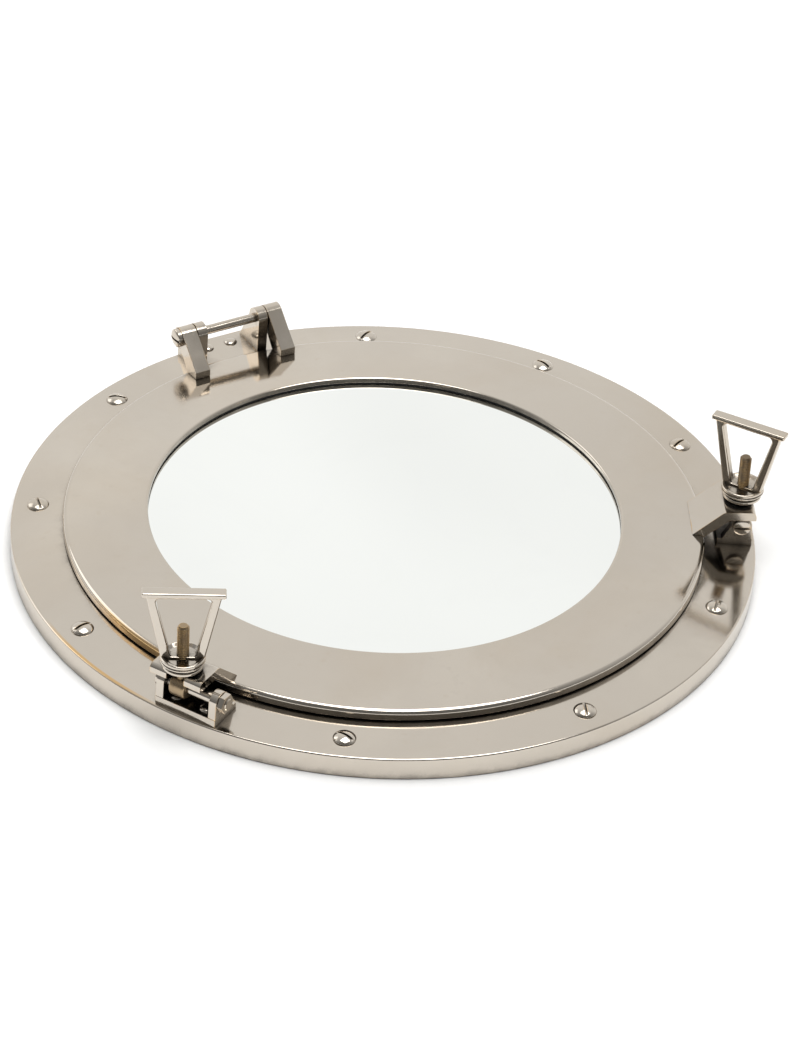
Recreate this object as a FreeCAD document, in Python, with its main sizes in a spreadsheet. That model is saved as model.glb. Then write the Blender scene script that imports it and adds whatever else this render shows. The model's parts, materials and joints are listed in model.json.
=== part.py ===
"""Opening porthole: a hinged, mirror-glazed sash on a flanged base ring, closed by two swing bolts.

Frame: millimetres, +Z up out of the wall, origin at the centre of the rim's bottom plane, hinge at +Y.
Fittings are built in a local frame, X outward along a radius and Y around the ring, then turned to
their angle, so every profile below is written as (radius, height).
"""
import FreeCAD, Part
import math
import os

import Sketcher

doc = FreeCAD.newDocument("Porthole")
sheet = doc.addObject("Spreadsheet::Sheet", "Sizes")
parts = {}

# ---------------------------------------------------------------- driving sizes

SIZES = [
    # the two rings
    ("sash_radius", 164.0), ("flange_margin", 26.5), ("sash_band", 43.3), ("rim_height", 11.7),
    ("crown_rise", 2.3), ("crown_flat", 4.0), ("rim_wall", 3.5), ("flange_plate", 3.0),
    ("coaming_inset", 28.0), ("coaming_wall", 3.5), ("rim_edge_round", 1.0),
    ("sash_gap", 0.6), ("sash_edge", 5.2), ("sash_rise", 3.2), ("sash_edge_round", 3.4),
    ("lip_round", 1.6), ("lip_thickness", 3.0), ("lip_overlap", 5.6),
    # seal between sash and base ring
    ("seal_inset", 18.0), ("seal_width", 10.0), ("seal_depth", 3.6), ("bead_width", 3.0),
    ("bead_height", 1.4), ("seal_clear", 0.3),
    # mirror and what holds it
    ("glass_thickness", 4.0), ("glass_clear", 0.5), ("bedding", 0.8), ("bedding_clear", 0.5),
    ("retainer_width", 14.0), ("retainer_turn", 22.5),
    ("retainer_thickness", 1.5), ("retainer_screw_count", 8), ("small_screw", 3.0),
    ("small_head", 5.6), ("small_slot", 0.8), ("retainer_screw_length", 6.0), ("retainer_screw_in", 5.0),
    # flange screws
    ("flange_screw", 4.8), ("flange_screw_head", 11.4), ("flange_screw_dome", 2.9),
    ("screw_slot", 1.3), ("screw_slot_depth", 1.4), ("spot_face", 0.45), ("screw_end_gap", 0.5),
    ("hole_clear", 0.15),
    # hinge
    ("hinge_angle", 90.0), ("pin_offset", 6.5), ("pin_rise", 22.0), ("pin_diameter", 5.0),
    ("running_clear", 0.05), ("ear_gap", 31.0), ("hinge_ear", 5.5), ("knuckle", 11.0),
    ("arm_clear", 0.5), ("arm_width", 8.6), ("arm_reach", 13.5), ("arm_foot_height", 3.4),
    ("arm_foot_length", 9.5), ("arm_lift", 1.4), ("pin_head", 10.0), ("pin_head_thickness", 3.4),
    ("hinge_foot_out", 25.0), ("hinge_foot_in", 2.2), ("foot_plate", 2.6),
    ("rivet", 4.0), ("rivet_head", 7.0), ("rivet_dome", 1.6),
    ("hinge_rivet_pitch", 14.0), ("hinge_rivet_out", 17.0), ("rivet_tail", 0.8),
    ("arm_screw_inset", 7.5), ("arm_screw_length", 9.0), ("pin_end", 0.8),
    # dogs
    ("dog_spread", 118.0), ("dog_offset", 18.0), ("pivot_rise", 9.8), ("dog_pin", 6.0),
    ("fork_width", 29.0), ("fork_slot", 10.0), ("fork_thickness", 4.8), ("fork_rise", 20.2),
    ("fork_end", 6.5), ("fork_apex", 10.0), ("fork_foot", 9.0), ("fork_round", 3.0),
    ("fork_heel", 3.2), ("fork_heel_inset", 1.5), ("fork_root", 1.0), ("fork_screw_pitch", 18.0),
    ("fork_screw_inset", 4.5), ("fork_screw_length", 6.5),
    ("dog_gap", 26.0), ("dog_shift", 5.8), ("dog_ear", 4.2), ("dog_ear_top", 10.6),
    ("dog_foot_in", 12.0), ("dog_foot_out", 6.0), ("dog_foot_plate", 2.0), ("dog_rivet_pitch", 17.0),
    ("pivot_head", 9.0), ("pivot_head_thickness", 2.2), ("pivot_slot_depth", 1.0),
    ("pivot_nut", 9.0), ("pivot_nut_thickness", 3.2), ("pivot_end", 0.6), ("eye_diameter", 12.0),
    ("eye_width", 9.0), ("stud_diameter", 6.0), ("stud_reach", 25.1), ("stud_chamfer", 0.8),
    ("washer_gap", 1.6), ("washer_diameter", 20.0), ("washer_thickness", 1.8),
    ("collar_diameter", 22.0), ("collar_height", 4.6), ("collar_dish", 1.2),
    ("dish_inset", 1.2), ("dish_slope", 2.0),
    ("collar_neck", 18.0), ("collar_groove", 0.9), ("groove_down", 1.6),
    ("groove_width", 0.6), ("collar_skirt", 1.4),
    ("loop_height", 37.2), ("loop_bar", 4.6), ("loop_depth", 5.0), ("loop_foot", 21.0),
    ("loop_top", 36.8), ("loop_head", 3.0), ("loop_root", 1.6), ("cap_overhang", 1.6),
    ("cap_thickness", 2.6), ("cap_side", 0.6),
    ("nut_yaw_left", -28.1), ("nut_yaw_right", -57.9),
]

# Angles of the flange screws and of their slots, seen from the front, counter-clockwise from +X.
FLANGE_SCREWS = [(-2.0, 20), (31.0, 75), (63.4, 140), (113.6, 35), (148.2, 110), (183.6, 5),
                 (234.1, 60), (273.3, 155), (310.1, 95)]

for row, (alias, value) in enumerate(SIZES, start=1):
    sheet.set("A%d" % row, alias.replace("_", " "))
    sheet.set("B%d" % row, str(value))
    sheet.setAlias("B%d" % row, alias)
doc.recompute()


def of(alias):
    """The value of a size, for the few places where Python itself must count or choose."""
    return float(sheet.get(alias))


def sized(formula):
    """Turn a formula over size names into an expression over the sheet's cells."""
    text = formula
    for name in sorted(dict(SIZES), key=len, reverse=True):
        text = text.replace("{%s}" % name, "Sizes.%s" % name)
    return text


# ---------------------------------------------------------------- levels and radii that follow

rim_radius = "({sash_radius} + {flange_margin})"
opening_radius = "({sash_radius} - {sash_band})"
seat = "({rim_height} + {crown_rise})"
crown_radius = "({sash_radius} - {crown_flat})"
sash_bottom = "(%s + {sash_gap})" % seat
sash_edge_top = "(%s + {sash_edge})" % sash_bottom
sash_top = "(%s + {sash_rise})" % sash_edge_top
lip_under = "(%s - {lip_thickness})" % sash_top
glass_top = "(%s - {bedding})" % lip_under
glass_bottom = "(%s - {glass_thickness})" % glass_top
pocket_radius = "(%s + {lip_overlap} + {glass_clear})" % opening_radius
glass_radius = "(%s + {lip_overlap})" % opening_radius
retainer_outer = "(%s + {retainer_width} - {lip_overlap})" % pocket_radius
retainer_inner = "(%s - {retainer_width} + {lip_overlap})" % pocket_radius
coaming_radius = "({sash_radius} - {coaming_inset})"
seal_radius = "({sash_radius} - {seal_inset})"
seal_inner = "(%s - {seal_width} / 2)" % seal_radius
seal_outer = "(%s + {seal_width} / 2)" % seal_radius
bead_top = "(%s + {bead_height})" % seat
seal_bottom = "(%s + {seal_clear})" % bead_top
seal_top = "(%s + {seal_depth})" % seal_bottom
screw_circle = "({sash_radius} + {flange_margin} / 2)"
flange_slope = "({crown_rise} / ({flange_margin} + {crown_flat}))"
screw_seat = "({rim_height} + {flange_margin} / 2 * %s - {spot_face})" % flange_slope
pin_radius = "({sash_radius} + {pin_offset})"
ear_inner = "({ear_gap} / 2)"
ear_outer = "(%s + {hinge_ear})" % ear_inner
arm_inner = "(%s + {arm_clear})" % ear_outer
arm_outer = "(%s + {arm_width})" % arm_inner
arm_tip = "({sash_radius} - {arm_reach})"
dog_radius = "({sash_radius} + {dog_offset})"
dog_low = "({dog_shift} - {dog_gap} / 2)"
dog_high = "({dog_shift} + {dog_gap} / 2)"
dog_low_outer = "(%s - {dog_ear})" % dog_low
dog_high_outer = "(%s + {dog_ear})" % dog_high
pin_height = "(%s + {pin_rise})" % seat
pivot_z = "(%s + {pivot_rise})" % seat
fork_top = "(%s + {fork_rise})" % seat
fork_underside = "(%s - {fork_thickness})" % fork_top
fork_apex_radius = "(%s - {fork_apex})" % dog_radius
fork_toe = "({sash_radius} - {fork_foot})"
fork_root = "(%s - {fork_root})" % sash_edge_top
stud_top = "(%s + {stud_reach})" % fork_top
washer_bottom = "(%s + {washer_gap})" % fork_top
collar_bottom = "(%s + {washer_thickness} + {running_clear})" % washer_bottom
collar_top = "(%s + {collar_height})" % collar_bottom
left_angle = "({hinge_angle} + {dog_spread})"
right_angle = "({hinge_angle} - {dog_spread})"


# ---------------------------------------------------------------- small helpers

def bind(item, **formulas):
    """Bind properties of an object to formulas over the sizes."""
    for name, formula in formulas.items():
        item.setExpression(name.replace("__", "."), sized(formula))
    return item


def placed(axis, angle):
    """A placement that only turns a shape about an axis through the origin."""
    return FreeCAD.Placement(FreeCAD.Vector(0, 0, 0), FreeCAD.Rotation(axis, angle))


def add(kind, name, **formulas):
    return bind(doc.addObject(kind, name), **formulas)


def cylinder(name, radius, low, high, x="0", y="0"):
    return add("Part::Cylinder", name, Radius=radius, Height="%s - (%s)" % (high, low),
               Placement__Base__x=x, Placement__Base__y=y, Placement__Base__z=low)


def box(name, x, y, z):
    """A block between pairs of formulas (low, high) along each axis."""
    return add("Part::Box", name, Length="%s - (%s)" % (x[1], x[0]), Width="%s - (%s)" % (y[1], y[0]),
               Height="%s - (%s)" % (z[1], z[0]), Placement__Base__x=x[0], Placement__Base__y=y[0],
               Placement__Base__z=z[0])


def barrel(name, radius, x, z, low, high):
    """A cylinder lying along Y between two places, with its axis at (x, z)."""
    item = add("Part::Cylinder", name, Radius=radius, Height="%s - (%s)" % (high, low))
    item.Placement = placed(FreeCAD.Vector(1, 0, 0), -90)
    return bind(item, Placement__Base__x=x, Placement__Base__y=low, Placement__Base__z=z)


def fuse(name, shapes):
    item = doc.addObject("Part::MultiFuse", name)
    item.Shapes = shapes
    return item


def cut(name, base, tool):
    item = doc.addObject("Part::Cut", name)
    item.Base = base
    item.Tool = tool
    return item


def compound(name, shapes):
    item = doc.addObject("Part::Compound", name)
    item.Links = shapes
    return item


def turned(item, angle):
    """Turn a finished piece about the ring's axis to its angle."""
    item.Placement = placed(FreeCAD.Vector(0, 0, 1), 1)
    return bind(item, Placement__Rotation__Angle=angle)


def node(name, item):
    """Name a finished piece; its Label names its file."""
    item.Label = name
    parts[name] = item
    return item


def plane(body, role):
    for feature in body.Origin.OriginFeatures:
        if feature.Role == role:
            return feature
    raise ValueError(role)


def outline(body, name, wires, role="XZ_Plane"):
    """A fully dimensioned sketch; each wire is a list of corner places as pairs of formulas."""
    sketch = body.newObject("Sketcher::SketchObject", name)
    sketch.AttachmentSupport = [(plane(body, role), "")]
    sketch.MapMode = "FlatFace"
    for corners in wires:
        count = len(corners)
        first = sketch.GeometryCount
        ring = [FreeCAD.Vector(100 + 10 * math.cos(2 * math.pi * k / count),
                               10 * math.sin(2 * math.pi * k / count), 0) for k in range(count)]
        for k in range(count):
            sketch.addGeometry(Part.LineSegment(ring[k], ring[(k + 1) % count]), False)
        for k in range(count):
            following = first + (k + 1) % count
            sketch.addConstraint(Sketcher.Constraint("Coincident", first + k, 2, following, 1))
        for k, (across, up) in enumerate(corners):
            for axis, formula in (("DistanceX", across), ("DistanceY", up)):
                index = sketch.addConstraint(Sketcher.Constraint(axis, -1, 1, first + k, 1, 1.0))
                sketch.setExpression("Constraints[%d]" % index, sized(formula))
    return sketch


def turned_ring(name, corners):
    """A body of revolution about the ring's axis, from a closed outline of (radius, height)."""
    body = doc.addObject("PartDesign::Body", name)
    sketch = outline(body, name + "_outline", [corners])
    revolve = body.newObject("PartDesign::Revolution", name + "_revolve")
    revolve.Profile = sketch
    revolve.ReferenceAxis = (sketch, ["V_Axis"])
    revolve.Angle = 360
    doc.recompute()
    return body


def slab(name, wires, thickness):
    """A plate whose outline is in (radius, height), as thick as given, centred on the local XZ plane."""
    body = doc.addObject("PartDesign::Body", name)
    sketch = outline(body, name + "_outline", wires)
    pad = body.newObject("PartDesign::Pad", name + "_pad")
    pad.Profile = sketch
    pad.Midplane = True
    pad.setExpression("Length", sized(thickness))
    doc.recompute()
    return body


def rounded(body, name, radius, choose):
    """Fillet the edges of a body's tip that the test picks out."""
    base = body.Tip
    picked = ["Edge%d" % (k + 1) for k, edge in enumerate(base.Shape.Edges) if choose(edge)]
    fillet = body.newObject("PartDesign::Fillet", name)
    fillet.Base = (base, picked)
    fillet.setExpression("Radius", sized(radius))
    doc.recompute()
    return body


def circle_at(radius_formula, level_formula):
    """A test for the circular edge at a given radius and height, for turned rings."""
    probe = add("Part::Vertex", "probe", X=radius_formula, Z=level_formula)
    doc.recompute()
    radius, level = float(probe.X), float(probe.Z)
    doc.removeObject(probe.Name)

    def test(edge):
        same_height = abs(edge.BoundBox.ZMin - level) < 1e-4 and abs(edge.BoundBox.ZMax - level) < 1e-4
        reach = max(math.hypot(v.Point.x, v.Point.y) for v in edge.Vertexes)
        return same_height and abs(reach - radius) < 1e-4
    return test


# ---------------------------------------------------------------- base ring and its screws

base_blank = turned_ring("base_blank", [
    (rim_radius, "0"),
    (rim_radius, "{rim_height}"),
    (crown_radius, seat),
    ("%s + {bead_width} / 2" % seal_radius, seat),
    ("%s + {bead_width} / 6" % seal_radius, bead_top),
    ("%s - {bead_width} / 6" % seal_radius, bead_top),
    ("%s - {bead_width} / 2" % seal_radius, seat),
    (coaming_radius, seat),
    (coaming_radius, "0"),
    (coaming_radius + " + {coaming_wall}", "0"),
    (coaming_radius + " + {coaming_wall}", "%s - {flange_plate}" % seat),
    (crown_radius, "%s - {flange_plate}" % seat),
    ("%s - {rim_wall}" % rim_radius, "{rim_height} - {flange_plate}"),
    ("%s - {rim_wall}" % rim_radius, "0"),
])
rounded(base_blank, "rim_edge", "{rim_edge_round}", circle_at(rim_radius, "{rim_height}"))

screws = []
screw_holes = []
for index, (angle, slot_angle) in enumerate(FLANGE_SCREWS):
    tag = "flange_screw_%d" % (index + 1)
    dome = add("Part::Ellipsoid", tag + "_dome", Radius1="{flange_screw_dome}",
               Radius2="{flange_screw_head} / 2", Placement__Base__x=screw_circle,
               Placement__Base__z=screw_seat)
    dome.Angle1 = 0
    shank = cylinder(tag + "_shank", "{flange_screw} / 2", "{screw_end_gap}",
                     "%s + {flange_screw_dome} / 2" % screw_seat, x=screw_circle)
    slot = box(tag + "_slot", ("-{flange_screw_head}", "{flange_screw_head}"),
               ("-{screw_slot} / 2", "{screw_slot} / 2"), ("0", "{screw_slot_depth} * 2"))
    slot.Placement = placed(FreeCAD.Vector(0, 0, 1), slot_angle)
    bind(slot, Placement__Base__z="%s + {flange_screw_dome} - {screw_slot_depth}" % screw_seat)
    turn = math.radians(slot_angle)
    bind(slot, Placement__Base__x="%s - {flange_screw_head} * %.6f + {screw_slot} / 2 * %.6f"
         % (screw_circle, math.cos(turn), math.sin(turn)),
         Placement__Base__y="-{flange_screw_head} * %.6f - {screw_slot} / 2 * %.6f"
         % (math.sin(turn), math.cos(turn)))
    screw = cut(tag, fuse(tag + "_blank", [dome, shank]), slot)
    screws.append(turned(screw, str(angle)))
    hole = cylinder(tag + "_hole", "{flange_screw} / 2 + {hole_clear}", "0", seat, x=screw_circle)
    face = cylinder(tag + "_seat", "{flange_screw_head} / 2 + {hole_clear}", screw_seat,
                    "%s + {spot_face}" % seat, x=screw_circle)
    screw_holes.append(turned(fuse(tag + "_clearance", [hole, face]), str(angle)))
node("flange_screws", compound("flange_screw_set", screws))

# ---------------------------------------------------------------- sash ring, seal, mirror and retainer

sash_blank = turned_ring("sash_blank", [
    ("{sash_radius}", sash_bottom),
    ("{sash_radius}", sash_edge_top),
    (opening_radius, sash_top),
    (opening_radius, lip_under),
    (pocket_radius, lip_under),
    (pocket_radius, glass_bottom),
    (seal_inner, glass_bottom),
    (seal_inner, seal_top),
    (seal_outer, seal_top),
    (seal_outer, sash_bottom),
])
rounded(sash_blank, "sash_edge_rounding", "{sash_edge_round}", circle_at("{sash_radius}", sash_edge_top))
rounded(sash_blank, "lip_rounding", "{lip_round}", circle_at(opening_radius, sash_top))


def ring(name, inner, outer, low, high):
    """A plain flat ring."""
    return turned_ring(name, [(inner, low), (outer, low), (outer, high), (inner, high)])


node("sash_seal", ring("seal_ring", seal_inner, seal_outer, seal_bottom, seal_top))
node("glass_bedding", ring("bedding_ring", opening_radius + " + {bedding_clear}", glass_radius,
                           glass_top, lip_under))
node("mirror_glass", cylinder("mirror_disc", glass_radius, glass_bottom, glass_top))

retainer_blank = ring("retainer_blank", retainer_inner, retainer_outer,
                      "%s - {retainer_thickness}" % glass_bottom, glass_bottom)


def countersunk(tag, x, bottom, length, y="0"):
    """A small countersunk screw driven upward, head flush with a bottom face, and the cone it needs."""
    head = add("Part::Cone", tag + "_head", Radius1="{small_head} / 2", Radius2="{small_screw} / 2",
               Height="({small_head} - {small_screw}) / 2", Placement__Base__x=x,
               Placement__Base__y=y, Placement__Base__z=bottom)
    shank = cylinder(tag + "_shank", "{small_screw} / 2", bottom, "%s + %s" % (bottom, length), x=x, y=y)
    return fuse(tag + "_body", [head, shank])


def slotted_below(tag, body, x, bottom, y="0"):
    """Cut a driver slot into a screw head that faces down."""
    slot = box(tag + "_slot", ("%s - {small_head}" % x, "%s + {small_head}" % x),
               ("%s - {small_slot} / 2" % y, "%s + {small_slot} / 2" % y),
               ("%s - {small_slot}" % bottom, "%s + {small_slot}" % bottom))
    return cut(tag, body, slot)


retainer_bottom = "(%s - {retainer_thickness})" % glass_bottom
retainer_screws = []
retainer_holes = []
screw_reach = "(%s - {retainer_screw_in})" % retainer_outer
for index in range(int(of("retainer_screw_count"))):
    angle = "%d * 360 / {retainer_screw_count} + 22.5" % index
    tag = "retainer_screw_%d" % (index + 1)
    body = countersunk(tag, screw_reach, retainer_bottom, "{retainer_screw_length}")
    retainer_screws.append(turned(slotted_below(tag, body, screw_reach, retainer_bottom), angle))
    retainer_holes.append(turned(countersunk(tag + "_hole", screw_reach, retainer_bottom,
                                             "{retainer_screw_length}"), angle))
node("retainer_screws", compound("retainer_screw_set", retainer_screws))
node("glass_retainer", cut("retainer_drilled", retainer_blank,
                           compound("retainer_holes", retainer_holes)))

# ---------------------------------------------------------------- hinge

knuckle = "{knuckle} / 2"
foot_top = "(%s + {foot_plate})" % seat


def mirrored_pair(name, shape):
    """A shape and its mirror image across the local XZ plane."""
    other = doc.addObject("Part::Mirroring", name + "_mirror")
    other.Source = shape
    other.Normal = FreeCAD.Vector(0, 1, 0)
    return [shape, other]


def standing_ear(tag, foot_in, foot_out, x, z, top, low, high):
    """A tapered plate standing on the flange, rounded about the pin axis at (x, z)."""
    blank = slab(tag + "_taper", [[(foot_in, "{rim_height}"), (foot_out, "{rim_height}"),
                                   ("%s + %s" % (x, top), z), ("%s - %s" % (x, top), z)]],
                 "%s - %s" % (high, low))
    bind(blank, Placement__Base__y="(%s + %s) / 2" % (low, high))
    return fuse(tag, [blank, barrel(tag + "_round", top, x, z, low, high)])


hinge_foot = box("hinge_foot", ("{sash_radius} + {hinge_foot_in}", "{sash_radius} + {hinge_foot_out}"),
                 ("-" + ear_outer, ear_outer), ("{rim_height}", foot_top))
hinge_ear = standing_ear("hinge_ear", "{sash_radius} + {hinge_foot_in}",
                         "{sash_radius} + {hinge_foot_out}", pin_radius, pin_height, knuckle,
                         ear_inner, ear_outer)
hinge_blank = fuse("hinge_blank", [hinge_foot] + mirrored_pair("hinge_ear", hinge_ear))
pin_bore = barrel("pin_bore", "{pin_diameter} / 2 + {running_clear}", pin_radius, pin_height,
                  "-{ear_gap}", "{ear_gap}")


def rivet(tag, x, y, seat_level):
    """A round-headed rivet from a foot plate down through the flange."""
    dome = add("Part::Ellipsoid", tag + "_dome", Radius1="{rivet_dome}", Radius2="{rivet_head} / 2",
               Placement__Base__x=x, Placement__Base__y=y, Placement__Base__z=seat_level)
    dome.Angle1 = 0
    shank = cylinder(tag + "_shank", "{rivet} / 2", "{rim_height} - {flange_plate} - {rivet_tail}",
                     "%s + {rivet_dome} / 2" % seat_level, x=x, y=y)
    return fuse(tag, [dome, shank])


def rivet_hole(tag, x, y, seat_level):
    """The hole a rivet fills, through the foot plate and the flange."""
    return compound(tag, [cylinder(tag + "_bore", "{rivet} / 2", "0", seat_level, x=x, y=y)])


base_holes = [compound("screw_clearances", screw_holes)]
hinge_rivets = []
hinge_rivet_holes = []
for index, side in enumerate((-1, 1)):
    place = ("{sash_radius} + {hinge_rivet_out}", "%d * {hinge_rivet_pitch} / 2" % side, foot_top)
    tag = "hinge_rivet_%d" % (index + 1)
    hinge_rivets.append(turned(rivet(tag, *place), "{hinge_angle}"))
    hinge_rivet_holes.append(rivet_hole(tag + "_foot_hole", *place))
    base_holes.append(turned(rivet_hole(tag + "_flange_hole", *place), "{hinge_angle}"))
hinge_seated = cut("hinge_seated", hinge_blank,
                   fuse("hinge_tools", [base_blank, pin_bore] + hinge_rivet_holes))
node("hinge_bracket", turned(hinge_seated, "{hinge_angle}"))
node("hinge_rivets", compound("hinge_rivet_set", hinge_rivets))

arm_low = "(%s + 0.2)" % seal_top
arm_wires = [[(arm_tip, arm_low), (arm_tip, "%s + {arm_lift} + {arm_foot_height}" % sash_edge_top),
              ("%s - %s * 0.75" % (pin_radius, knuckle), "%s + %s * 0.66" % (pin_height, knuckle)),
              ("%s + %s * 0.5" % (pin_radius, knuckle), "%s - %s * 0.5" % (pin_height, knuckle)),
              ("%s - 1" % pin_radius, "%s - %s * 0.98" % (pin_height, knuckle)),
              ("%s + {arm_foot_length}" % arm_tip, arm_low)]]
arm_middle = "((%s + %s) / 2)" % (arm_inner, arm_outer)
lug_screws = []
lug_screw_holes = []


def lug_screw(tag, x, y, length, angle):
    """A countersunk screw from under the sash up into a fitting; returns its hole in the local frame."""
    body = countersunk(tag, x, sash_bottom, length, y)
    lug_screws.append(turned(slotted_below(tag, body, x, sash_bottom, y), angle))
    lug_screw_holes.append(turned(countersunk(tag + "_hole", x, sash_bottom, length, y), angle))
    return countersunk(tag + "_tapped", x, sash_bottom, length, y)


for name, side in (("left", 1), ("right", -1)):
    blank = slab("arm_blank_" + name, arm_wires, "{arm_width}")
    bind(blank, Placement__Base__y="%d * %s" % (side, arm_middle))
    low, high = (arm_inner, arm_outer) if side > 0 else ("-" + arm_outer, "-" + arm_inner)
    eye = barrel("arm_eye_" + name, knuckle, pin_radius, pin_height, low, high)
    body = fuse("arm_body_" + name, [blank, eye])
    bore = barrel("arm_bore_" + name, "{pin_diameter} / 2", pin_radius, pin_height,
                  "-" + arm_outer, arm_outer)
    tapped = lug_screw("arm_screw_" + name, "{sash_radius} - {arm_screw_inset}",
                       "%d * %s" % (side, arm_middle), "{arm_screw_length}", "{hinge_angle}")
    arm = cut("arm_" + name, body, fuse("arm_tools_" + name, [sash_blank, bore, tapped]))
    node("hinge_arm_" + name, turned(arm, "{hinge_angle}"))

pin_shaft = barrel("pin_shaft", "{pin_diameter} / 2", pin_radius, pin_height,
                   "-%s - {pin_end}" % arm_outer, arm_outer)
pin_cap = barrel("pin_cap", "{pin_head} / 2", pin_radius, pin_height, arm_outer,
                 "%s + {pin_head_thickness}" % arm_outer)
pin_slot = box("pin_slot", ("%s - {pin_head}" % pin_radius, "%s + {pin_head}" % pin_radius),
               ("%s + {pin_head_thickness} - {screw_slot_depth}" % arm_outer, "%s + {pin_head}" % arm_outer),
               ("%s - {screw_slot} / 2" % pin_height, "%s + {screw_slot} / 2" % pin_height))
node("hinge_pin", turned(cut("pin", fuse("pin_blank", [pin_shaft, pin_cap]), pin_slot), "{hinge_angle}"))

# ---------------------------------------------------------------- dogs: fork, bracket, swing bolt, nut

ear_top = "{dog_ear_top} / 2"
collar = "{collar_diameter} / 2"
dog_foot_top = "(%s + {dog_foot_plate})" % seat
dog_rivets = []


def straight_edge_at(x_formula, z_formula):
    """A test for the straight edge along Y at a given radius and height of a slab."""
    probe = add("Part::Vertex", "probe", X=x_formula, Z=z_formula)
    doc.recompute()
    x, z = float(probe.X), float(probe.Z)
    doc.removeObject(probe.Name)

    def test(edge):
        return all(abs(v.Point.x - x) < 1e-4 and abs(v.Point.z - z) < 1e-4 for v in edge.Vertexes)
    return test


def fork(name, angle):
    """The forked lug on the sash: a ramp rising over the edge to a flat slotted seat."""
    body = slab("fork_body_" + name, [[
        (fork_toe, fork_root),
        (fork_apex_radius, fork_top),
        ("%s + {fork_end}" % dog_radius, fork_top),
        ("%s + {fork_end}" % dog_radius, fork_underside),
        ("%s + {fork_heel}" % fork_apex_radius, fork_underside),
        ("{sash_radius} - {fork_heel_inset}", fork_root)]], "{fork_width}")
    end_test = straight_edge_at("%s + {fork_end}" % dog_radius, fork_top)
    rounded(body, "fork_end_rounding_" + name, "{fork_round}", end_test)
    apex_test = straight_edge_at(fork_apex_radius, fork_top)
    rounded(body, "fork_apex_rounding_" + name, "{fork_round}", apex_test)
    above = "%s + {fork_thickness}" % fork_top
    slot_end = cylinder("fork_slot_end_" + name, "{fork_slot} / 2", sash_edge_top, above, x=dog_radius)
    slot_run = box("fork_slot_run_" + name, (dog_radius, "%s + 2 * {fork_end}" % dog_radius),
                   ("-{fork_slot} / 2", "{fork_slot} / 2"), (sash_edge_top, above))
    tapped = [lug_screw("fork_screw_%s_%d" % (name, index), "{sash_radius} - {fork_screw_inset}",
                        "%d * {fork_screw_pitch} / 2" % side, "{fork_screw_length}", angle)
              for index, side in enumerate((-1, 1))]
    tools = fuse("fork_tools_" + name, [sash_blank, slot_end, slot_run] + tapped)
    node("sash_fork_" + name, turned(cut("fork_" + name, body, tools), angle))


def bracket(name, angle):
    """The two-eared bracket riveted to the flange under the fork, a little to one side of the stud."""
    foot_in = "%s - {dog_foot_in}" % dog_radius
    foot_out = "%s + {dog_foot_out}" % dog_radius
    foot = box("dog_foot_" + name, (foot_in, foot_out), (dog_low_outer, dog_high_outer),
               ("{rim_height} - 1", dog_foot_top))
    ears = [standing_ear("dog_ear_%s_%d" % (name, index + 1), foot_in, foot_out, dog_radius, pivot_z,
                         ear_top, low, high)
            for index, (low, high) in enumerate(((dog_low_outer, dog_low), (dog_high, dog_high_outer)))]
    blank = fuse("dog_bracket_blank_" + name, [foot] + ears)
    bore = barrel("dog_bore_" + name, "{dog_pin} / 2", dog_radius, pivot_z, dog_low_outer + " - 1",
                  dog_high_outer + " + 1")
    holes = []
    for index, side in enumerate((-1, 1)):
        tag = "dog_rivet_%s_%d" % (name, index + 1)
        place = (dog_radius, "{dog_shift} + %d * {dog_rivet_pitch} / 2" % side, dog_foot_top)
        dog_rivets.append(turned(rivet(tag, *place), angle))
        holes.append(rivet_hole(tag + "_foot_hole", *place))
        base_holes.append(turned(rivet_hole(tag + "_flange_hole", *place), angle))
    tools = fuse("dog_bracket_tools_" + name, [base_blank, bore] + holes)
    node("dog_bracket_" + name, turned(cut("dog_bracket_body_" + name, blank, tools), angle))


def hexagon(name, across, x, z, low, high):
    """A hexagonal prism lying along Y."""
    item = add("Part::Prism", name, Circumradius="%s / 2 / cos(30)" % across,
               Height="%s - (%s)" % (high, low))
    item.Polygon = 6
    item.Placement = placed(FreeCAD.Vector(1, 0, 0), -90)
    return bind(item, Placement__Base__x=x, Placement__Base__y=low, Placement__Base__z=z)


def pivot(name, angle):
    """The screw that the swing bolt turns on, and its nut."""
    head_face = "(%s - {pivot_head_thickness})" % dog_low_outer
    nut_face = "(%s + {pivot_nut_thickness})" % dog_high_outer
    shaft = barrel("pivot_shaft_" + name, "{dog_pin} / 2", dog_radius, pivot_z, dog_low_outer,
                   nut_face + " + {pivot_end}")
    head = barrel("pivot_head_" + name, "{pivot_head} / 2", dog_radius, pivot_z, head_face, dog_low_outer)
    slot = box("pivot_slot_" + name, ("%s - {pivot_head}" % dog_radius, "%s + {pivot_head}" % dog_radius),
               (head_face + " - 1", head_face + " + {pivot_slot_depth}"),
               ("%s - {screw_slot} / 2" % pivot_z, "%s + {screw_slot} / 2" % pivot_z))
    blank = fuse("pivot_blank_" + name, [shaft, head])
    node("dog_pivot_" + name, turned(cut("pivot_" + name, blank, slot), angle))
    nut = hexagon("pivot_nut_blank_" + name, "{pivot_nut}", dog_radius, pivot_z, dog_high_outer, nut_face)
    bore = barrel("pivot_nut_bore_" + name, "{dog_pin} / 2", dog_radius, pivot_z, dog_high,
                  nut_face + " + 1")
    node("dog_pivot_nut_" + name, turned(cut("pivot_nut_" + name, nut, bore), angle))


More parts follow.
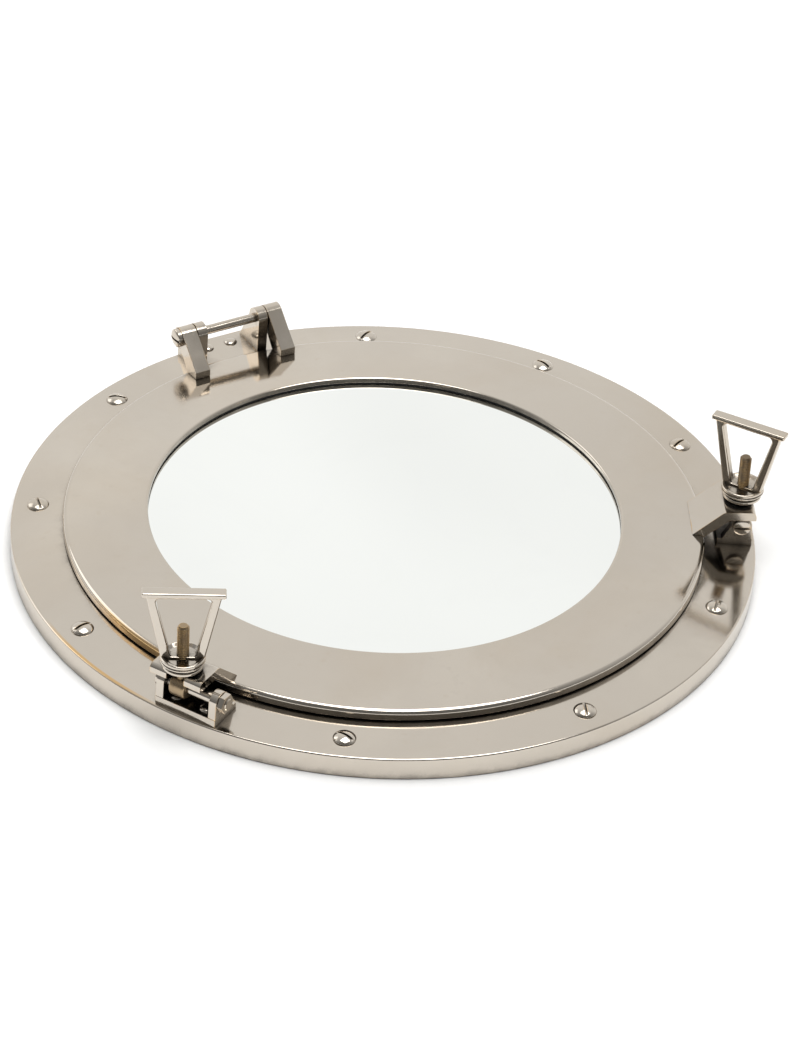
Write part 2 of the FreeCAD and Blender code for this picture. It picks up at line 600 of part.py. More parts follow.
def swing_bolt(name, angle):
    """The swing bolt: an eye on the pivot and a plain stud up through the fork."""
    shoulder = "(%s - {stud_chamfer})" % stud_top
    eye = barrel("eye_" + name, "{eye_diameter} / 2", dog_radius, pivot_z, "-{eye_width} / 2",
                 "{eye_width} / 2")
    stud = cylinder("stud_" + name, "{stud_diameter} / 2", pivot_z, shoulder, x=dog_radius)
    tip = add("Part::Cone", "stud_tip_" + name, Radius1="{stud_diameter} / 2",
              Radius2="{stud_diameter} / 2 - {stud_chamfer}", Height="{stud_chamfer}",
              Placement__Base__x=dog_radius, Placement__Base__z=shoulder)
    bore = barrel("eye_bore_" + name, "{dog_pin} / 2 + {running_clear}", dog_radius, pivot_z,
                  "-{eye_width}", "{eye_width}")
    blank = fuse("swing_blank_" + name, [eye, stud, tip])
    node("swing_bolt_" + name, turned(cut("swing_" + name, blank, bore), angle))


def washer(name, angle):
    disc = cylinder("washer_disc_" + name, "{washer_diameter} / 2", washer_bottom,
                    "%s + {washer_thickness}" % washer_bottom, x=dog_radius)
    bore = cylinder("washer_bore_" + name, "{stud_diameter} / 2 + 2 * {running_clear}", fork_top,
                    collar_top, x=dog_radius)
    node("dog_washer_" + name, turned(cut("washer_" + name, disc, bore), angle))


def wing_nut(name, angle, yaw):
    """A round dished collar carrying a flat trapezoid loop with a capped top bar."""
    loop_low = "(%s - {loop_root})" % collar_top
    loop_high = "(%s + {loop_height})" % collar_top
    foot, top = "({loop_foot} / 2)", "({loop_top} / 2)"
    loop = slab("loop_" + name, [
        [("-" + foot, loop_low), (foot, loop_low), (top, loop_high), ("-" + top, loop_high)],
        [("-%s + {loop_bar}" % foot, collar_top), ("%s - {loop_bar}" % foot, collar_top),
         ("%s - {loop_bar}" % top, "%s - {loop_head}" % loop_high),
         ("-%s + {loop_bar}" % top, "%s - {loop_head}" % loop_high)],
    ], "{loop_depth}")
    cap_half = "({loop_depth} / 2 + {cap_side})"
    cap = box("loop_cap_" + name, ("-%s - {cap_overhang}" % top, "%s + {cap_overhang}" % top),
              ("-" + cap_half, cap_half), ("%s - {cap_thickness}" % loop_high, loop_high))
    skirt_top = "(%s + {collar_skirt})" % collar_bottom
    groove_high = "(%s - {groove_down})" % collar_top
    groove_low = "(%s - {groove_width})" % groove_high
    skirt = cylinder("collar_skirt_" + name, "{collar_neck} / 2", collar_bottom, skirt_top)
    rim = cylinder("collar_rim_" + name, collar, skirt_top, collar_top)
    groove = cut("collar_groove_" + name,
                 cylinder("groove_outer_" + name, collar + " + 1", groove_low, groove_high),
                 cylinder("groove_inner_" + name, collar + " - {collar_groove}", collar_bottom, collar_top))
    dish = add("Part::Cone", "collar_dish_" + name, Radius1=collar + " - {dish_inset} - {dish_slope}",
               Radius2=collar + " - {dish_inset}",
               Height="{collar_dish} + 0.01", Placement__Base__z="%s - {collar_dish}" % collar_top)
    dished = cut("collar_dished_" + name, fuse("collar_blank_" + name, [skirt, rim]),
                 fuse("collar_cuts_" + name, [groove, dish]))
    bore = cylinder("nut_bore_" + name, "{stud_diameter} / 2 + {running_clear}",
                    "%s - 1" % collar_bottom, "%s + {stud_chamfer}" % collar_top)
    whole = cut("nut_" + name, fuse("nut_blank_" + name, [dished, loop, cap]), bore)
    whole.Placement = placed(FreeCAD.Vector(0, 0, 1), 1)
    bind(whole, Placement__Rotation__Angle=yaw, Placement__Base__x="%s * cos(%s)" % (dog_radius, angle),
         Placement__Base__y="%s * sin(%s)" % (dog_radius, angle))
    node("wing_nut_" + name, whole)


for name, angle, yaw in (("left", left_angle, "{nut_yaw_left}"), ("right", right_angle, "{nut_yaw_right}")):
    fork(name, angle)
    bracket(name, angle)
    pivot(name, angle)
    swing_bolt(name, angle)
    washer(name, angle)
    wing_nut(name, angle, yaw)
node("dog_rivets", compound("dog_rivet_set", dog_rivets))
node("lug_screws", compound("lug_screw_set", lug_screws))

node("base_ring", cut("base", base_blank, compound("base_holes", base_holes)))
node("sash_ring", cut("sash", sash_blank, compound("sash_holes", lug_screw_holes + [
    turned(countersunk("retainer_tapped_%d" % k, screw_reach, retainer_bottom, "{retainer_screw_length}"),
           "%d * 360 / {retainer_screw_count} + {retainer_turn}" % k)
    for k in range(int(of("retainer_screw_count")))])))

# ---------------------------------------------------------------- check and write

doc.recompute()
failed = [item.Name for item in doc.Objects if "Invalid" in item.State or "Error" in item.State]
if failed:
    raise RuntimeError("failed features: %s" % failed)
for name, item in parts.items():
    if item.Shape.isNull() or not item.Shape.isValid() or not item.Shape.Solids:
        raise RuntimeError("bad shape: %s" % name)
os.makedirs("parts", exist_ok=True)
for name, item in parts.items():
    item.Shape.exportStep("parts/%s.step" % name)
    print("%-22s solids %2d  volume %9.1f" % (name, len(item.Shape.Solids), item.Shape.Volume))
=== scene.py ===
"""Opening porthole: polished surfaces, threads, screw heads, mirror glazing and finishes.

Most pieces are surfaces worked out from formulas on a grid; the castings and small screws are the frame's own
shapes with their edges rounded. All is in metres, in the frame of the fittings.
"""
import json
import math

import bmesh
import bpy
import numpy as np
from mathutils import Matrix, Vector


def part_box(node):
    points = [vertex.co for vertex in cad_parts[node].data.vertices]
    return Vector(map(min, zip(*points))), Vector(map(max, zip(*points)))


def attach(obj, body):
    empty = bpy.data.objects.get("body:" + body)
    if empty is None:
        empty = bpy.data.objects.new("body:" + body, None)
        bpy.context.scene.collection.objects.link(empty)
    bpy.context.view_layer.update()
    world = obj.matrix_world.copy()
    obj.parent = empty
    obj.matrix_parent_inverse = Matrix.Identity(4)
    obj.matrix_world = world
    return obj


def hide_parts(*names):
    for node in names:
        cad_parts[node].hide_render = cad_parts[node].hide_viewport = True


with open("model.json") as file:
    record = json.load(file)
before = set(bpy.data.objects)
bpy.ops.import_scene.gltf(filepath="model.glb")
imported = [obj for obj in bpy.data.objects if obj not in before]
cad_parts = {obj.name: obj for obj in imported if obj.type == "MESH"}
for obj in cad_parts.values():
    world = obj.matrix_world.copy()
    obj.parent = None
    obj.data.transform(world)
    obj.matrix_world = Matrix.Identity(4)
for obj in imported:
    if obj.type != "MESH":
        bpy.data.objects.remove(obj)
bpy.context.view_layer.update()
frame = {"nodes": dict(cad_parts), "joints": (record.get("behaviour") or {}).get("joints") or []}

bl_info = {
    "name": "Opening porthole",
    "version": (1, 0, 0),
    "blender": (4, 5, 0),
    "location": "3D View > Sidebar > Porthole",
    "description": "Builds the finished surfaces and the stage of an opening porthole",
    "category": "Object",
}

MM = 0.001
HINGE = next(joint for joint in frame["joints"] if joint["name"] == "sash_hinge")
SIDES = ("left", "right")
FLANGE_SCREWS = [(-2.0, 20), (31.0, 75), (63.4, 140), (113.6, 35), (148.2, 110), (183.6, 5),
                 (234.1, 60), (273.3, 155), (310.1, 95)]
NUT_YAW = {"left": -28.1, "right": -57.9}
VIEW_TURN = math.radians(31.9)


def low(node, axis):
    """Lowest coordinate of a node along an axis."""
    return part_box(node)[0][axis]


def high(node, axis):
    """Highest coordinate of a node along an axis."""
    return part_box(node)[1][axis]


def dog(side):
    """Angle, radius and pivot height of a swing bolt, read from its joint."""
    joint = next(j for j in frame["joints"] if j["name"] == "dog_swing_" + side)
    x, y, z = joint["pos_m"]
    return math.atan2(y, x), math.hypot(x, y), z


# ---------------------------------------------------------------- outlines and surfaces

def rounded_outline(corners, radii, steps=6, closed=True):
    """A polygon whose corners are arcs: each corner's arc touches both of its sides.

    The arc's centre stands off the corner by radius / sin(half the angle), and the points turn evenly
    between the two touching places. The points run in the corners' order.
    """
    corners = np.asarray(corners, float)
    count = len(corners)
    out = []
    for k in range(count):
        here, before, after = corners[k], corners[k - 1], corners[(k + 1) % count]
        ends = not closed and k in (0, count - 1)
        if ends or radii[k] <= 0:
            out.append(here[None])
            continue
        a = (before - here) / np.linalg.norm(before - here)
        b = (after - here) / np.linalg.norm(after - here)
        half = math.acos(np.clip(a @ b, -1, 1)) / 2
        reach = radii[k] / math.tan(half)
        reach = min(reach, 0.48 * np.linalg.norm(before - here), 0.48 * np.linalg.norm(after - here))
        radius = reach * math.tan(half)
        centre = here + (a + b) / np.linalg.norm(a + b) * radius / math.sin(half)
        start, stop = here + a * reach - centre, here + b * reach - centre
        turn = math.atan2(start[0] * stop[1] - start[1] * stop[0], start @ stop)
        angle = math.atan2(start[1], start[0]) + np.linspace(0, turn, steps + 1)
        out.append(centre + radius * np.stack([np.cos(angle), np.sin(angle)], 1))
    return np.concatenate(out)


def spun(profile, segments=256, closed=True):
    """A profile of (radius, height) carried round the Z axis: (r cos a, r sin a, z) for even steps of a."""
    profile = np.asarray(profile, float)
    angle = np.linspace(0, 2 * math.pi, segments, endpoint=False)
    r, z = profile[:, 0], profile[:, 1]
    points = np.stack([np.outer(np.cos(angle), r), np.outer(np.sin(angle), r),
                       np.broadcast_to(z, (segments, len(z)))], -1)
    return points, (True, closed)


def quads(rows, columns, wrap, start=0):
    """Corner numbers of the faces of a grid, joined across its ends where wrap says so."""
    i = np.arange(rows if wrap[0] else rows - 1)
    j = np.arange(columns if wrap[1] else columns - 1)
    i, j = np.meshgrid(i, j, indexing="ij")
    p, q = (i + 1) % rows, (j + 1) % columns
    faces = np.stack([i * columns + j, p * columns + j, p * columns + q, i * columns + q], -1)
    return faces.reshape(-1, 4) + start


def turned(points, angle, centre=(0.0, 0.0, 0.0)):
    """Points turned about Z by an angle, then moved to a centre."""
    c, s = math.cos(angle), math.sin(angle)
    matrix = np.array([[c, s, 0], [-s, c, 0], [0, 0, 1]])
    return points @ matrix + np.asarray(centre)


def laid(points, centre):
    """Points whose Z axis is laid along +Y, then moved to a centre."""
    x, y, z = points[..., 0], points[..., 1], points[..., 2]
    return np.stack([x, z, -y], -1) + np.asarray(centre)


def build(name, shells, material, body, replaced=(), merge=2e-6, sharp=None):
    """One object from grids of points; each shell is (points, wrap). Joined poles are merged."""
    vertices, faces, start = [], [], 0
    for points, wrap in shells:
        rows, columns = points.shape[:2]
        vertices.append(points.reshape(-1, 3))
        faces.append(quads(rows, columns, wrap, start))
        start += rows * columns
    vertices, faces = np.concatenate(vertices), np.concatenate(faces)
    mesh = bpy.data.meshes.new(name)
    mesh.vertices.add(len(vertices))
    mesh.vertices.foreach_set("co", vertices.astype(np.float32).ravel())
    mesh.loops.add(faces.size)
    mesh.loops.foreach_set("vertex_index", faces.astype(np.int32).ravel())
    mesh.polygons.add(len(faces))
    mesh.polygons.foreach_set("loop_start", np.arange(0, faces.size, 4, dtype=np.int32))
    mesh.update(calc_edges=True)
    clean(mesh, merge)
    return finished(name, mesh, material, body, replaced)


def clean(mesh, merge):
    """Merge the doubles at poles, drop what collapsed, and face every shell outwards."""
    work = bmesh.new()
    work.from_mesh(mesh)
    bmesh.ops.remove_doubles(work, verts=work.verts, dist=merge)
    bmesh.ops.dissolve_degenerate(work, edges=work.edges, dist=merge / 2)
    bmesh.ops.holes_fill(work, edges=[e for e in work.edges if e.is_boundary], sides=0)
    bmesh.ops.recalc_face_normals(work, faces=work.faces)
    work.to_mesh(mesh)
    work.free()


def finished(name, mesh, material, body, replaced=()):
    """Link a mesh as a smooth-shaded piece with even normals, and tie it to the frame."""
    piece = bpy.data.objects.new(name, mesh)
    bpy.context.scene.collection.objects.link(piece)
    mesh.polygons.foreach_set("use_smooth", np.ones(len(mesh.polygons), bool))
    mesh.set_sharp_from_angle(angle=math.radians(40))
    mesh.materials.append(material)
    even = piece.modifiers.new("even_normals", "WEIGHTED_NORMAL")
    even.keep_sharp = True
    even.weight = 80
    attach(piece, body)
    if replaced:
        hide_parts(*replaced)
    return piece


def softened(name, node, width, material, body, steps=3):
    """A casting: the node's own shape with every sharp edge rounded over."""
    mesh = frame["nodes"][node].data.copy()
    mesh.name = name
    mesh.materials.clear()
    work = bmesh.new()
    work.from_mesh(mesh)
    bmesh.ops.remove_doubles(work, verts=work.verts, dist=1e-6)
    bmesh.ops.dissolve_limit(work, angle_limit=math.radians(0.6), verts=work.verts, edges=work.edges)
    work.to_mesh(mesh)
    work.free()
    piece = finished(name, mesh, material, body, (node,))
    mesh.set_sharp_from_angle(angle=math.radians(180))
    bevel = piece.modifiers.new("rounded_edges", "BEVEL")
    bevel.width = width
    bevel.segments = steps
    bevel.limit_method = "ANGLE"
    bevel.angle_limit = math.radians(32)
    bevel.miter_outer = "MITER_ARC"
    piece.modifiers.move(len(piece.modifiers) - 1, 0)
    return piece


def slotted_head(radius, dome, skirt, slot, depth, rows=44, columns=40):
    """A round-headed screw top with a driver slot, its seat at z = 0.

    Rows run across the slot at fixed y, each as long as the circle's chord there. The height is
    skirt + dome * sqrt(1 - (distance / radius)^2) raised to a soft power, and inside the slot it is
    held down to the slot's floor.
    """
    edge = slot / 2
    outer = edge + 0.08 * MM + (radius - edge - 0.08 * MM) * np.sin(np.linspace(0, math.pi / 2, rows // 2))
    inner = np.array([edge, edge - 0.05 * MM, edge * 0.4])
    y = np.concatenate([-outer[::-1], -inner, inner[::-1], outer])
    chord = np.sqrt(np.clip(radius ** 2 - y ** 2, 0, None))
    u = np.sin(np.linspace(-math.pi / 2, math.pi / 2, columns))
    x = np.outer(chord, u)
    far = np.clip((x ** 2 + y[:, None] ** 2) / radius ** 2, 0, 1)
    z = skirt + dome * (1 - far) ** 0.62
    floor = skirt + dome - depth
    z = np.where(np.abs(y)[:, None] < edge - 0.01 * MM, np.minimum(z, floor), z)
    z = np.where(np.abs(np.abs(y)[:, None] - edge) < 0.01 * MM, np.maximum(z - 0.07 * MM, 0), z)
    top = np.stack([x, np.broadcast_to(y[:, None], x.shape), z], -1)
    foot = top.copy()
    foot[..., 2] = 0
    ring = np.concatenate([top, foot[:, ::-1]], 1)
    return ring, (False, True)


def threaded(radius, depth, pitch, bottom, start, top, turn_steps=40):
    """A stud: plain, then threaded, with a chamfered tip.

    The radius is r - depth * |triangle wave of (z / pitch - a / 2 pi)|, faded in above start and
    drawn in over the last millimetre.
    """
    z = np.concatenate([[bottom], np.arange(start - 1.5 * MM, top - 0.8 * MM, pitch / 9), [top - 0.8 * MM]])
    angle = np.linspace(0, 2 * math.pi, turn_steps, endpoint=False)
    phase = z[:, None] / pitch - angle[None, :] / (2 * math.pi)
    wave = np.abs(2 * (phase - np.floor(phase + 0.5)))
    fade = np.clip((z[:, None] - start) / (1.2 * MM), 0, 1)
    r = radius - depth * np.clip(wave * 1.25 - 0.1, 0, 1) * fade
    tip = np.full((1, turn_steps), radius - 0.9 * MM)
    pole = np.zeros((1, turn_steps))
    r = np.concatenate([pole, r, tip, pole])
    z = np.concatenate([[bottom], z, [top], [top]])
    points = np.stack([r * np.cos(angle), r * np.sin(angle), np.broadcast_to(z[:, None], r.shape)], -1)
    return points, (False, True)


def band(outer, inner, depth, rounding, steps=5):
    """A closed flat frame between two outlines in the XZ plane, with rounded edges.

    Across the bar the section is a rounded rectangle: one side on the outer outline, one on the inner.
    """
    bar = np.linalg.norm(outer - inner, axis=1).mean()
    section = rounded_outline([(0, -depth / 2), (bar, -depth / 2), (bar, depth / 2), (0, depth / 2)],
                              [rounding] * 4, steps)
    share = section[:, 0] / bar
    plan = outer[:, None, :] * (1 - share)[None, :, None] + inner[:, None, :] * share[None, :, None]
    across = np.broadcast_to(section[:, 1], plan.shape[:2])
    return np.stack([plan[..., 0], across, plan[..., 1]], -1), (True, True)


def bar_between(start, stop, width, height, rounding, steps=5):
    """A straight bar along X with a rounded section and softly closed ends."""
    section = rounded_outline([(-width / 2, -height / 2), (width / 2, -height / 2),
                               (width / 2, height / 2), (-width / 2, height / 2)], [rounding] * 4, steps)
    turn = np.linspace(0, math.pi / 2, 5)
    inset = rounding * (1 - np.sin(turn))
    travel = rounding * (1 - np.cos(turn))
    x = np.concatenate([[start], start + travel, stop - travel[::-1], [stop]])
    shrink = np.concatenate([[width], inset, inset[::-1], [width]])
    scale_y = np.clip(1 - 2 * shrink / width, 0, 1)
    scale_z = np.clip(1 - 2 * shrink / height, 0, 1)
    y = scale_y[:, None] * section[None, :, 0]
    z = scale_z[:, None] * section[None, :, 1]
    return np.stack([np.broadcast_to(x[:, None], y.shape), y, z], -1), (False, True)


# ---------------------------------------------------------------- finishes

def group(name, inputs, outputs):
    """An empty shader node group with named sockets."""
    tree = bpy.data.node_groups.new(name, "ShaderNodeTree")
    for label, kind, value in inputs:
        socket = tree.interface.new_socket(name=label, in_out="INPUT", socket_type=kind)
        if value is not None:
            socket.default_value = value
    for label, kind in outputs:
        tree.interface.new_socket(name=label, in_out="OUTPUT", socket_type=kind)
    return tree, tree.nodes.new("NodeGroupInput"), tree.nodes.new("NodeGroupOutput")


def noise(tree, vector, scale, detail=4.0, rough=0.55, warp=0.0):
    node = tree.nodes.new("ShaderNodeTexNoise")
    node.inputs["Scale"].default_value = scale
    node.inputs["Detail"].default_value = detail
    node.inputs["Roughness"].default_value = rough
    node.inputs["Distortion"].default_value = warp
    tree.links.new(vector, node.inputs["Vector"])
    return node.outputs["Fac"]


def spread(tree, value, low_in, high_in, low_out=0.0, high_out=1.0):
    """Map a range of values to another range, clamped."""
    node = tree.nodes.new("ShaderNodeMapRange")
    limits = (("From Min", low_in), ("From Max", high_in), ("To Min", low_out), ("To Max", high_out))
    for label, number in limits:
        if isinstance(number, float):
            node.inputs[label].default_value = number
        else:
            tree.links.new(number, node.inputs[label])
    tree.links.new(value, node.inputs["Value"])
    return node.outputs["Result"]


def sums(tree, kind, a, b):
    """One arithmetic step between values or numbers."""
    node = tree.nodes.new("ShaderNodeMath")
    node.operation = kind
    for socket, given in zip(node.inputs, (a, b)):
        if isinstance(given, (int, float)):
            socket.default_value = given
        else:
            tree.links.new(given, socket)
    return node.outputs[0]


def mixed(tree, factor, a, b):
    """Blend two colours."""
    node = tree.nodes.new("ShaderNodeMix")
    node.data_type = "RGBA"
    tree.links.new(factor, node.inputs[0])
    for socket, given in ((node.inputs[6], a), (node.inputs[7], b)):
        if isinstance(given, tuple):
            socket.default_value = given
        else:
            tree.links.new(given, socket)
    return node.outputs[2]


def edge_wear_group():
    """Where an outward edge is rubbed: the bevelled normal leaves the true one, broken up by noise."""
    tree, given, result = group("edge wear", [("Vector", "NodeSocketVector", None),
                                              ("Amount", "NodeSocketFloat", 0.5)],
                                [("Mask", "NodeSocketFloat")])
    bevel = tree.nodes.new("ShaderNodeBevel")
    bevel.samples = 6
    bevel.inputs["Radius"].default_value = 0.9 * MM
    shape = tree.nodes.new("ShaderNodeNewGeometry")
    dot = tree.nodes.new("ShaderNodeVectorMath")
    dot.operation = "DOT_PRODUCT"
    tree.links.new(bevel.outputs[0], dot.inputs[0])
    tree.links.new(shape.outputs["Normal"], dot.inputs[1])
    away = sums(tree, "SUBTRACT", 1.0, dot.outputs["Value"])
    patch = spread(tree, noise(tree, given.outputs["Vector"], 95.0, 5.0), 0.42, 0.62)
    edge = spread(tree, away, 0.004, 0.09)
    mask = sums(tree, "MULTIPLY", sums(tree, "MULTIPLY", edge, patch), given.outputs["Amount"])
    tree.links.new(mask, result.inputs["Mask"])
    return tree


def polish_group():
    """Hand polishing: long soft haze, cloudy spots, fine swirls and a slow unevenness of the casting."""
    tree, given, result = group("hand polish", [("Vector", "NodeSocketVector", None),
                                                ("Clean", "NodeSocketFloat", 0.11),
                                                ("Hazy", "NodeSocketFloat", 0.30)],
                                [("Haze", "NodeSocketFloat"), ("Roughness", "NodeSocketFloat"),
                                 ("Swirls", "NodeSocketFloat"), ("Unevenness", "NodeSocketFloat")])
    vector = given.outputs["Vector"]
    cloud = spread(tree, noise(tree, vector, 17.0, 6.0, 0.6, 0.4), 0.36, 0.68)
    spots = spread(tree, noise(tree, vector, 160.0, 3.0, 0.6), 0.60, 0.74)
    haze = sums(tree, "MAXIMUM", cloud, sums(tree, "MULTIPLY", spots, 0.7))
    tree.links.new(haze, result.inputs["Haze"])
    rough = spread(tree, haze, 0.0, 1.0, given.outputs["Clean"], given.outputs["Hazy"])
    tree.links.new(rough, result.inputs["Roughness"])
    stretch = tree.nodes.new("ShaderNodeMapping")
    stretch.inputs["Scale"].default_value = (1.0, 6.0, 2.0)
    stretch.inputs["Rotation"].default_value = (0.2, 0.3, 0.6)
    tree.links.new(vector, stretch.inputs["Vector"])
    swirls = noise(tree, stretch.outputs["Vector"], 520.0, 3.0, 0.7, 0.8)
    tree.links.new(swirls, result.inputs["Swirls"])
    tree.links.new(noise(tree, vector, 26.0, 2.0, 0.4), result.inputs["Unevenness"])
    return tree


def tarnish_group():
    """Yellow-brown tarnish that gathers in broad, soft patches and in small freckles."""
    tree, given, result = group("tarnish", [("Vector", "NodeSocketVector", None),
                                            ("Amount", "NodeSocketFloat", 0.4)],
                                [("Mask", "NodeSocketFloat")])
    broad = spread(tree, noise(tree, given.outputs["Vector"], 9.0, 5.0, 0.6, 0.6), 0.45, 0.75)
    freckle = spread(tree, noise(tree, given.outputs["Vector"], 210.0, 2.0, 0.5), 0.66, 0.76)
    mask = sums(tree, "MULTIPLY", sums(tree, "ADD", broad, sums(tree, "MULTIPLY", freckle, 0.35)),
                given.outputs["Amount"])
    tree.links.new(mask, result.inputs["Mask"])
    return tree


def recess_shade_group():
    """Mask of painted shade: where ambient occlusion finds nearby surfaces, in recesses and between parts,
    broken up by noise.
    """
    tree, given, result = group("recess grime", [("Vector", "NodeSocketVector", None),
                                                 ("Reach", "NodeSocketFloat", 0.012),
                                                 ("Amount", "NodeSocketFloat", 0.9)],
                                [("Mask", "NodeSocketFloat")])
    shelter = tree.nodes.new("ShaderNodeAmbientOcclusion")
    shelter.samples = 6
    tree.links.new(given.outputs["Reach"], shelter.inputs["Distance"])
    open_air = shelter.outputs["AO"]
    ragged = noise(tree, given.outputs["Vector"], 130.0, 4.0, 0.6)
    depth = sums(tree, "ADD", open_air, sums(tree, "MULTIPLY", sums(tree, "SUBTRACT", ragged, 0.5), 0.45))
    # The painted shade grows as the occlusion deepens.
    mask = sums(tree, "MULTIPLY", spread(tree, depth, 0.70, 0.30), given.outputs["Amount"])
    tree.links.new(mask, result.inputs["Mask"])
    return tree


def painted_reflection_arc_group():
    """Mask of a painted reflection: a warm tint on the outer edge over a short arc of the ring, standing in
    for the reflection of a warm-coloured object.
    """
    tree, given, result = group("worn sector", [("Vector", "NodeSocketVector", None),
                                                ("Radius", "NodeSocketFloat", 0.162),
                                                ("Width", "NodeSocketFloat", 0.05),
                                                ("Amount", "NodeSocketFloat", 0.8)],
                                [("Mask", "NodeSocketFloat")])
    parts = tree.nodes.new("ShaderNodeSeparateXYZ")
    tree.links.new(given.outputs["Vector"], parts.inputs[0])
    x, y = parts.outputs[0], parts.outputs[1]
    turn = sums(tree, "ARCTAN2", sums(tree, "MULTIPLY", y, -1.0), sums(tree, "MULTIPLY", x, -1.0))
    away = sums(tree, "ABSOLUTE", sums(tree, "SUBTRACT", turn, math.radians(12.0)), 0.0)
    ragged = sums(tree, "MULTIPLY", noise(tree, given.outputs["Vector"], 60.0, 4.0, 0.6), 0.12)
    arc = spread(tree, sums(tree, "ADD", away, ragged), math.radians(18.0), math.radians(9.0))
    squares = sums(tree, "ADD", sums(tree, "MULTIPLY", x, x), sums(tree, "MULTIPLY", y, y))
    radius = sums(tree, "SQRT", squares, 0.0)
    beyond = sums(tree, "SUBTRACT", radius, given.outputs["Radius"])
    short = sums(tree, "SUBTRACT", given.outputs["Width"], beyond)
    edge = sums(tree, "MULTIPLY", spread(tree, beyond, 0.0, 0.8 * MM), spread(tree, short, 0.0, 0.5 * MM))
    tree.links.new(sums(tree, "MULTIPLY", sums(tree, "MULTIPLY", arc, edge), given.outputs["Amount"]),
                   result.inputs["Mask"])
    return tree


